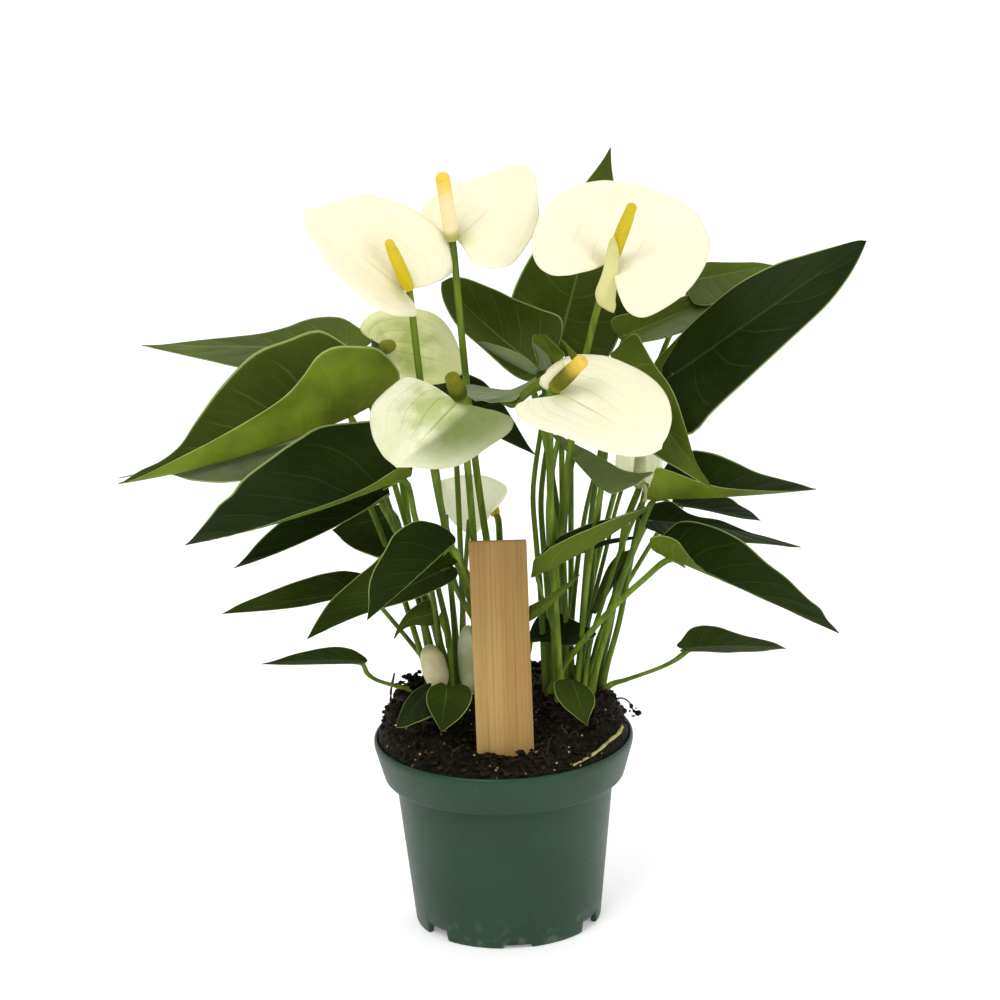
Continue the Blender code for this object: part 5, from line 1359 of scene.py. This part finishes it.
def leaf_finishes(settings):
    """The faces that leaves are made of, by name."""
    deep, bright, sheen_silver, vein = settings.deep, settings.bright, settings.sheen_silver, settings.vein
    rim = paint(168, 186, 112)
    tones = {"deep": (.0, .02, .045), "low": (.03, .08, .08), "mid": (.09, .15, .13),
             "lit": (.16, .26, .17), "fresh": (.24, .36, .22), "under": (.3, .45, .22)}
    made = {name: leaf_face("leaf_" + name, blend(deep, bright, low), blend(deep, bright, high), vein,
                            rim, lines)
            for name, (low, high, lines) in tones.items()}
    made["bright"] = leaf_face("leaf_bright", [c * .28 for c in bright], [c * .62 for c in bright],
                               [c * .4 for c in bright], rim, .35)
    made["soft"] = leaf_face("leaf_soft", paint(92, 108, 46), paint(112, 126, 70), vein, rim, .15)
    # The silvery face is partly the paler back of a leaf and partly painted sheen and light on it.
    made["sheen_silver"] = leaf_face("leaf_sheen_silver", sheen_silver, [c * .6 for c in sheen_silver], vein, rim, .25)
    # A darker copy of the silvery face, as painted shade.
    made["sheen_in_shade"] = leaf_face("leaf_sheen_in_shade", [c * .5 for c in sheen_silver], [c * .7 for c in sheen_silver], vein, rim, .2)
    made["olive"] = leaf_face("leaf_olive", blend(deep, bright, .2), blend(deep, bright, .3), vein, rim, .1)
    return made


def petiole_form(leaf, blade, stem):
    """A petiole's path and radii: moved to the dressed blade's joint, thicker at the foot and the knee."""
    point, _, up = blade.frame(np.array([JOINT, JOINT + UNDER_RUN]))
    moved = point[0] - leaf_blade(leaf).frame(JOINT)[0]
    stem = stem + moved * (np.linspace(0, 1, STEM_STEPS + 1) ** 3)[:, None]
    rise = unit(stem[-1] - stem[-2])
    onward = rise @ unit(point[1] - point[0]) > 0.2
    last = point[1] - up[1] * 1.5 if onward else stem[-1] + rise * 1.2 + up[0]
    path, reach = sized_stem(np.vstack([stem, last]), 36)
    knee = np.exp(-((reach[-1] - reach - (9 if onward else 4)) / 5.0) ** 2) * .45
    foot = .9 * np.exp(-((reach - ROOT_DEPTH) / 9.0) ** 2)
    radii = (PETIOLE_RADIUS * .92 + knee + foot) * min(1, .1 + blade.half / 20)
    radii[-4:] *= (.85, .65, .45, .3) if onward else (1, 1, .9, .6)
    return path, radii


def dress_leaves(settings, stems):
    """The leaves with their petioles, then the small sheets and thin stems between them."""
    faces = leaf_finishes(settings)
    petiole = stem_finish("petiole_green", paint(70, 94, 20), paint(108, 130, 38), paint(108, 112, 42))
    for number, (name, leaf) in enumerate(LEAVES.items()):
        blade = leaf_blade({**leaf, **LEAF_SHAPES.get(name, {})})
        top, under = LEAF_FACES.get(name, ("deep", "under"))
        form = Form()
        quilt = QUILT * blade.half / FULL_HALF * QUILTED.get(name, 1)
        form.blade(blade, *LEAF_GRID, settings.thickness, LEAF_SOFT, quilt, LEAF_VEINS,
                   WAVE * blade.half / FULL_HALF, number, rib=LEAF_RIB)
        path, radii = petiole_form(leaf, blade, stems[name])
        form.tube(path, radii, 12, kind=2)
        form.piece("blade_" + name[5:], [faces[top], faces[under], petiole], "leaf", [name])
    faces["tongue"] = spathe_face("spathe_tongue", paint(214, 212, 150), paint(196, 192, 122),
                                  paint(176, 176, 96), lines=.4)
    faces["yolk"] = spathe_face("spathe_yolk", paint(234, 228, 190), paint(216, 212, 160),
                                paint(186, 190, 112))
    for name, (look, depth, bow, one, two) in SMALL_SHEETS.items():
        form = Form()
        small_sheet(form, depth, bow, one, two, settings.thickness)
        form.piece(name, [faces[look]], "spathe" if name.startswith("bract") else "leaf")
    for number, (depth, radius, pixels) in enumerate(SMALL_STEMS):
        places = [seen_at(*pixel, depth) for pixel in pixels]
        places[0][2] = STEM_FOOT_Z
        path, reach = sized_stem(places, 30)
        form = Form()
        form.tube(path, radius * (1 - .25 * reach / reach[-1]), 12)
        form.piece(f"thin_stem_{number}", [petiole], "leaf")


def small_sheet(form, depth, bow, one, two, thick):
    """A thin closed sheet between two edges, bowed to the front."""
    low, middle, high = 8, 14, 20
    turn, across = np.linspace(0, 1, 2 * middle + 1)[:, None], np.linspace(0, 1, 13)[None]
    first, second = (spline([seen_at(*pixel, depth) for pixel in edge], turn[:, 0])[:, None]
                     for edge in (one, two))
    if np.cross(second[middle, 0] - first[middle, 0], first[high, 0] - first[low, 0])[1] > 0:
        first, second = second, first
    points = first + (second - first) * across[..., None]
    wide = np.linalg.norm(second - first, axis=2)
    points[..., 1] -= bow * wide * np.sin(np.pi * across)
    normals = np.zeros_like(points)
    normals[..., 1] = -1
    body = thick * np.clip(8 * np.minimum(turn, 1 - turn), 0, 1) + 0 * across
    form.shell(points, normals, body, body / 2, np.stack([turn + 0 * across, across + 0 * turn], -1))


def dress_spathes(settings):
    """The bracts of the blooms."""
    cream, green, vein = settings.cream, settings.green, settings.vein
    tints = {
        "cream": spathe_face("spathe_cream", cream, [c * .96 for c in cream], paint(206, 202, 140)),
        "veined": spathe_face("spathe_veined", paint(240, 237, 208), paint(235, 232, 198),
                              paint(168, 176, 110), lines=.4),
        "shade": spathe_face("spathe_shade", paint(222, 224, 188), paint(212, 216, 172), vein),
        # pale and olive give off a painted glow in their body colour, standing in for light from behind.
        "pale": spathe_face("spathe_pale_glow", paint(238, 240, 208), paint(222, 228, 184), vein, lines=.2,
                            through=.3),
        "green": spathe_face("spathe_green", paint(232, 232, 200), paint(216, 220, 176), vein, lines=.7,
                             flush=green, throat_green_and_shade=paint(98, 114, 44)),
        "olive": spathe_face("spathe_olive_glow", paint(232, 234, 176), paint(216, 220, 146), vein, lines=.7,
                             flush=paint(150, 168, 56), through=.14),
    }
    for number, (name, bloom) in enumerate(BLOOMS.items()):
        top, under = BLOOM_FACES.get(name, ("cream", "shade"))
        form = Form()
        blade = Blade(edge=SPATHE_EDGE, margins=BLOOM_MARGINS.get(name), **bloom)
        pleat = .1 if name in "abc" else .25
        form.blade(blade, *BLOOM_GRID, settings.thickness, BLOOM_SOFT, pleat, SPATHE_VEINS, BLOOM_WAVE,
                   BLOOM_SEED + number, rib=BLOOM_RIB, curl=BLOOM_CURL)
        form.piece("bract_" + name, [tints[top], tints[under]], "spathe", ["spathe_" + name])


def florets(turn, along):
    """Relief of a flower spike: crossing rows of blunt mounds."""
    one = np.abs(np.sin(turn / 2 * FLORETS_ROUND + np.pi * FLORETS_ALONG * along))
    two = np.abs(np.sin(turn / 2 * FLORETS_ROUND - np.pi * FLORETS_ALONG * along))
    return FLORET_RISE * ((one * two) ** .6 - .5) * smoothstep(0, .03, along) * smoothstep(0, .03, 1 - along)


def spike_course(foot, tip, count, begin=0, end=1):
    """The steps along a flower spike from 0 to 1, their places, and how full it is at each."""
    steps = np.linspace(0, 1, count)
    path = foot + (np.array(tip, float) - foot) * (begin + (end - begin) * steps)[:, None]
    return steps, path, spline([(share, 0) for share in SPIKE_SWELL], steps)[:, 0]


def dress_spikes():
    """The flower spikes that show, each with its florets."""
    for name, bloom in BLOOMS.items():
        if name in HIDDEN_SPIKES:
            continue
        _, foot, _ = bloom_axis(bloom)
        thick, blunt, low, high, turned, begin, end, collar = SPIKE_LOOKS[name]
        steps, path, swell = spike_course(foot, bloom["spike"], 170, begin, end)
        swell = np.maximum(swell, blunt)
        tip = np.sqrt(np.clip(1 - (np.clip(steps - .92, 0, 1) / .08) ** 2, 0, 1))
        form = Form()
        form.tube(path, SPADIX_RADIUS * thick * swell * np.maximum(tip, .02), 72, relief=florets)
        finish = spadix_finish("spadix_look_" + name, low, high, [c * .7 for c in blend(low, high, .5)],
                               turned, collar)
        form.piece("flower_spike_" + name, [finish], "spadix", ["spadix_" + name])


def dress_stalks(settings, stems):
    """The flower stalks; the stalk of a bloom seen from behind carries its hidden spike as well."""
    finish = stem_finish("stalk_green", paint(70, 92, 18), paint(114, 134, 36), paint(100, 108, 36))
    for name, bloom in BLOOMS.items():
        _, foot, way = bloom_axis(bloom)
        hidden = name in HIDDEN_SPIKES
        top = foot + way * (1 if hidden else .3)
        stem = np.vstack([stems[name], top])
        if name in BEHIND:
            up, spike = Blade(edge=SPATHE_EDGE, **bloom).up, np.array(bloom["spike"], float)
            stem = stem - up * BEHIND[name] * (np.linspace(0, 1, len(stem)) ** 4)[:, None]
            stem[-1] = foot + (spike - foot) * (SPIKE_LOOKS[name][5] + .03)
        path, reach = sized_stem(stem, 44)
        radii = STALK_RADIUS * (1 - .08 * reach / reach[-1]) + .8 * np.exp(-((reach - ROOT_DEPTH) / 8.0) ** 2)
        form = Form()
        form.tube(path, radii, 14)
        looks = [finish]
        if hidden:
            _, spike, swell = spike_course(foot, bloom["spike"], 90)
            form.tube(spike, SPADIX_RADIUS * swell, 48, kind=1, relief=florets)
            looks.append(spadix_finish("spadix_look_" + name, settings.spadix, settings.spadix,
                                       paint(120, 96, 24)))
        form.piece("flower_stem_" + name, looks, "stalk", ["stalk_" + name])


def dress_buds(stems):
    """Rolled young blooms: a plump blunt roll whose outer edge winds round it."""
    for name, (start, end, width, low, high) in BUD_LOOKS.items():
        start, end = np.array(start, float), np.array(end, float)
        steps = np.linspace(0, 1, 60)
        swell = np.sqrt(np.clip(1 - np.abs(2 * steps - 1) ** 2.6, 0, 1)) * (1 - .12 * steps)
        path = start + (end - start) * steps[:, None]

        def rolled(turn, along):
            seam = (turn / (2 * np.pi) + along * .35) % 1
            return width * .035 * (seam - .5) * smoothstep(.1, .3, along) * smoothstep(0, .1, 1 - along)

        form = Form()
        form.tube(path, np.maximum(width / 2 * swell, .05), 48, relief=rolled)
        foot = [stems[name][0], start, start + (end - start) * .08]
        form.tube(foot, [BUD_STALK] * 3, 12)
        look = plain_finish("bud_look_" + name[-1], low, high, 60, .4)
        form.piece("rolled_bud_" + name[-1], [look], "bud", [name])


def set_stage(settings):
    """Pale floor, soft light from all round, and the photograph's camera."""
    scene = bpy.context.scene
    form = bpy.data.meshes.new("pale_floor")
    far = settings.floor
    form.from_pydata([(-far, -far, 0), (far, -far, 0), (far, far, 0), (-far, far, 0)], [], [(0, 1, 2, 3)])
    floor = bpy.data.objects.new("pale_floor", form)
    scene.collection.objects.link(floor)
    finish = Finish("floor_white", Emission_Color=(1, 1, 1, 1), Emission_Strength=FLOOR_GLOW)
    form.materials.append(finish.give(finish.mix(finish.noise(3), (.93, .93, .93), (.96, .96, .96)),
                                      finish.noise(6) * .1 + .75))
    world = bpy.data.worlds.new("studio")
    world.use_nodes = True
    tree = world.node_tree
    room = Finish.__new__(Finish)
    room.tree = tree
    way = room.node("ShaderNodeSeparateXYZ", None, {0: room.node("ShaderNodeTexCoord")})
    up = Value(room, way.socket.node.outputs["Z"])
    behind = Value(room, way.socket.node.outputs["Y"]) + up * .35
    glow = behind.between(-.35, .55) * (settings.ambient - settings.dim) + settings.dim
    seen = room.node("ShaderNodeLightPath")
    strength = seen + (1 - seen) * glow
    tree.nodes["Background"].inputs[0].default_value = (1, 1, 1, 1)
    tree.links.new(strength.socket, tree.nodes["Background"].inputs[1])
    scene.world = world
    for name, place, size, power in LIGHTS:
        light = bpy.data.lights.new(name, "AREA")
        light.shape, light.size, light.energy = "SQUARE", size, power * settings.light
        lamp = bpy.data.objects.new(name, light)
        lamp.location = place
        lamp.rotation_euler = (Vector(LIGHT_AIM) - Vector(place)).to_track_quat("-Z", "Y").to_euler()
        scene.collection.objects.link(lamp)
    lens = bpy.data.cameras.new("front_camera")
    lens.sensor_width, lens.lens = FILM_WIDTH, settings.lens
    camera = bpy.data.objects.new("front_camera", lens)
    camera.matrix_world = (Matrix.Translation(Vector(CAMERA_PLACE) * MM)
                           @ Matrix.Rotation(math.radians(90 - CAMERA_DROP), 4, "X")
                           @ Matrix.Rotation(math.radians(-CAMERA_ROLL), 4, "Z"))
    scene.collection.objects.link(camera)
    scene.camera = camera
    scene.view_settings.view_transform = "Standard"


# Each spike as it looks: width, bluntness, colours of the foot and the tip, where one turns into the other,
# where it starts and ends between the joint and the tip of the solid, and how green its collar is
SPIKE_LOOKS = {
    "a": (1.05, .72, paint(214, 188, 34), paint(216, 194, 48), .55, .12, 1, 0),
    "b": (1.22, .95, paint(246, 228, 182), paint(242, 204, 58), .8, .03, .94, .85),
    "c": (1.12, .75, paint(200, 176, 34), paint(206, 184, 44), .55, 0, 1, 0),
    "d": (1.15, .9, paint(92, 100, 22), paint(130, 132, 36), .55, 0, 1, .5),
    "e": (1.4, .85, paint(58, 72, 14), paint(112, 114, 22), .55, 0, 1, .5),
    "f": (1.3, .9, paint(86, 94, 14), paint(232, 202, 86), .72, 0, 1, .5),
    "h": (1, .7, paint(198, 204, 148), paint(206, 210, 156), .55, 0, 1, .4),
}
# Each bud as it looks: foot, top, width and two colours
BUD_LOOKS = {
    "bud_1": ((-28.4, -6, 114.5), (-33.4, -6, 136.2), 12.6, paint(222, 212, 168), paint(184, 180, 122)),
    "bud_2": ((-14.2, 0, 111), (-14.8, 0, 143.2), 12.2, paint(188, 196, 152), paint(160, 170, 118)),
    "bud_3": ((42, 20, 104), (42.2, 20, 115.8), 6.4, paint(232, 226, 180), paint(196, 192, 120)),
}
STEMS = lay_stems()


def tint(name, description, *shown):
    """A colour that can be changed; shown is its red, green and blue on a screen."""
    return FloatVectorProperty(name=name, description=description, subtype="COLOR", size=3, min=0, max=1,
                               default=paint(*shown))


def amount(name, description, default):
    """A whole number that can be changed."""
    return IntProperty(name=name, description=description, default=default, min=0)


class PotSettings(bpy.types.PropertyGroup):
    colour: tint("Plastic", "Colour of the moulded pot", 28, 60, 40)


class SoilSettings(bpy.types.PropertyGroup):
    crumbs: amount("Crumbs", "How many loose crumbs lie on the root ball", 900)
    fibres: amount("Fibres", "How many loose fibres lie on the root ball", 60)
    perlite: amount("Perlite", "How many white grains lie on the root ball", 28)
    moss: amount("Moss", "How many crumbs make up the mossy lump", 130)


class StakeSettings(bpy.types.PropertyGroup):
    light: tint("Light wood", "Paler bands of the stake", 174, 142, 86)
    body: tint("Wood", "Main colour of the stake", 157, 124, 69)
    dark: tint("Dark wood", "Grain lines of the stake", 106, 76, 36)


class LeafSettings(bpy.types.PropertyGroup):
    thickness: FloatProperty(name="Thickness", description="Thickness of a leaf in millimetres", default=0.5,
                             min=0.2, max=1.5)
    deep: tint("Deep green", "Upper face of an old leaf", 25, 38, 8)
    bright: tint("Bright green", "Upper face of a young leaf", 152, 174, 52)
    # Silvery green: partly the paler back of a leaf, partly painted sheen and light.
    sheen_silver: tint("Silvery green", "Back of a leaf in the light", 120, 132, 92)
    vein: tint("Veins", "Veins and margins of a leaf", 132, 158, 84)


class BloomSettings(bpy.types.PropertyGroup):
    thickness: FloatProperty(name="Thickness", description="Thickness of a spathe in millimetres",
                             default=0.6,
                             min=0.2, max=1.5)
    cream: tint("Cream", "Face of an open spathe", 243, 238, 205)
    green: tint("Green", "Face of a spathe that turns green", 170, 182, 104)
    vein: tint("Green veins", "Veins of a green spathe", 120, 142, 60)
    spadix: tint("Spike", "Flower spike of an open bloom", 214, 190, 40)


class StageSettings(bpy.types.PropertyGroup):
    floor: FloatProperty(name="Floor", description="Half the width of the floor", default=30.0, min=1,
                         unit="LENGTH")
    ambient: FloatProperty(name="Ambient", description="Strength of the white surroundings", default=0.9,
                           min=0)
    dim: FloatProperty(name="Front", description="Strength of the surroundings behind the camera",
                       default=0.35, min=0)
    light: FloatProperty(name="Lamps", description="Strength of the soft lamps", default=1.0, min=0)
    lens: FloatProperty(name="Lens", description="Focal length in millimetres", default=LENS, min=20)


class PieceOperator:
    bl_options = {"REGISTER", "UNDO"}


class ANTHURIUM_OT_pot(PieceOperator, bpy.types.Operator):
    """Adds the green grower's pot with its stepped rim and drain notches"""
    bl_idname, bl_label = "anthurium.pot", "Grower's pot"

    def execute(self, context):
        dress_pot(context.scene.anthurium_pot)
        return {"FINISHED"}


class ANTHURIUM_OT_soil(PieceOperator, bpy.types.Operator):
    """Adds the lumpy top of the root ball"""
    bl_idname, bl_label = "anthurium.soil", "Root ball"

    def execute(self, context):
        dress_soil()
        return {"FINISHED"}


class ANTHURIUM_OT_litter(PieceOperator, bpy.types.Operator):
    """Adds crumbs, fibres and perlite on the root ball"""
    bl_idname, bl_label = "anthurium.litter", "Crumbs and fibres"

    def execute(self, context):
        dress_litter(context.scene.anthurium_soil)
        return {"FINISHED"}


class ANTHURIUM_OT_stake(PieceOperator, bpy.types.Operator):
    """Adds the bare wooden stake"""
    bl_idname, bl_label = "anthurium.stake", "Wooden stake"

    def execute(self, context):
        dress_stake(context.scene.anthurium_stake)
        return {"FINISHED"}


class ANTHURIUM_OT_leaves(PieceOperator, bpy.types.Operator):
    """Adds the leaves with their petioles"""
    bl_idname, bl_label = "anthurium.leaves", "Leaves"

    def execute(self, context):
        dress_leaves(context.scene.anthurium_leaf, STEMS)
        return {"FINISHED"}


class ANTHURIUM_OT_spathes(PieceOperator, bpy.types.Operator):
    """Adds the spathes of the blooms"""
    bl_idname, bl_label = "anthurium.spathes", "Spathes"

    def execute(self, context):
        dress_spathes(context.scene.anthurium_bloom)
        return {"FINISHED"}


class ANTHURIUM_OT_spikes(PieceOperator, bpy.types.Operator):
    """Adds the flower spikes with their florets"""
    bl_idname, bl_label = "anthurium.spikes", "Flower spikes"

    def execute(self, context):
        dress_spikes()
        return {"FINISHED"}


class ANTHURIUM_OT_stalks(PieceOperator, bpy.types.Operator):
    """Adds the stalks that carry the blooms"""
    bl_idname, bl_label = "anthurium.stalks", "Flower stalks"

    def execute(self, context):
        dress_stalks(context.scene.anthurium_bloom, STEMS)
        return {"FINISHED"}


class ANTHURIUM_OT_buds(PieceOperator, bpy.types.Operator):
    """Adds the rolled young blooms near the soil"""
    bl_idname, bl_label = "anthurium.buds", "Rolled buds"

    def execute(self, context):
        dress_buds(STEMS)
        return {"FINISHED"}


class ANTHURIUM_OT_stage(PieceOperator, bpy.types.Operator):
    """Adds the pale floor, the soft light and the camera"""
    bl_idname, bl_label = "anthurium.stage", "Stage"

    def execute(self, context):
        set_stage(context.scene.anthurium_stage)
        return {"FINISHED"}


OPERATORS = (ANTHURIUM_OT_stage, ANTHURIUM_OT_pot, ANTHURIUM_OT_soil, ANTHURIUM_OT_litter, ANTHURIUM_OT_stake,
             ANTHURIUM_OT_leaves, ANTHURIUM_OT_spathes, ANTHURIUM_OT_spikes, ANTHURIUM_OT_stalks,
             ANTHURIUM_OT_buds)
SETTINGS = {"anthurium_pot": PotSettings, "anthurium_soil": SoilSettings, "anthurium_stake": StakeSettings,
            "anthurium_leaf": LeafSettings, "anthurium_bloom": BloomSettings,
            "anthurium_stage": StageSettings}


class ANTHURIUM_PT_panel(bpy.types.Panel):
    """Lists the pieces and what can be changed on them"""
    bl_idname, bl_label = "ANTHURIUM_PT_panel", "Potted anthurium"
    bl_space_type, bl_region_type, bl_category = "VIEW_3D", "UI", "Anthurium"

    def draw(self, context):
        for operator in OPERATORS:
            self.layout.operator(operator.bl_idname)
        for key, group in SETTINGS.items():
            box = self.layout.box()
            for name in group.__annotations__:
                box.prop(getattr(context.scene, key), name)


def register():
    for made in (*SETTINGS.values(), *OPERATORS, ANTHURIUM_PT_panel):
        bpy.utils.register_class(made)
    for key, group in SETTINGS.items():
        setattr(bpy.types.Scene, key, PointerProperty(type=group))


def unregister():
    for key in SETTINGS:
        delattr(bpy.types.Scene, key)
    for made in (ANTHURIUM_PT_panel, *OPERATORS[::-1], *SETTINGS.values()):
        bpy.utils.unregister_class(made)


def main():
    register()
    for operator in OPERATORS:
        getattr(bpy.ops.anthurium, operator.bl_idname.split(".")[1])()


if __name__ == "__main__":
    main()
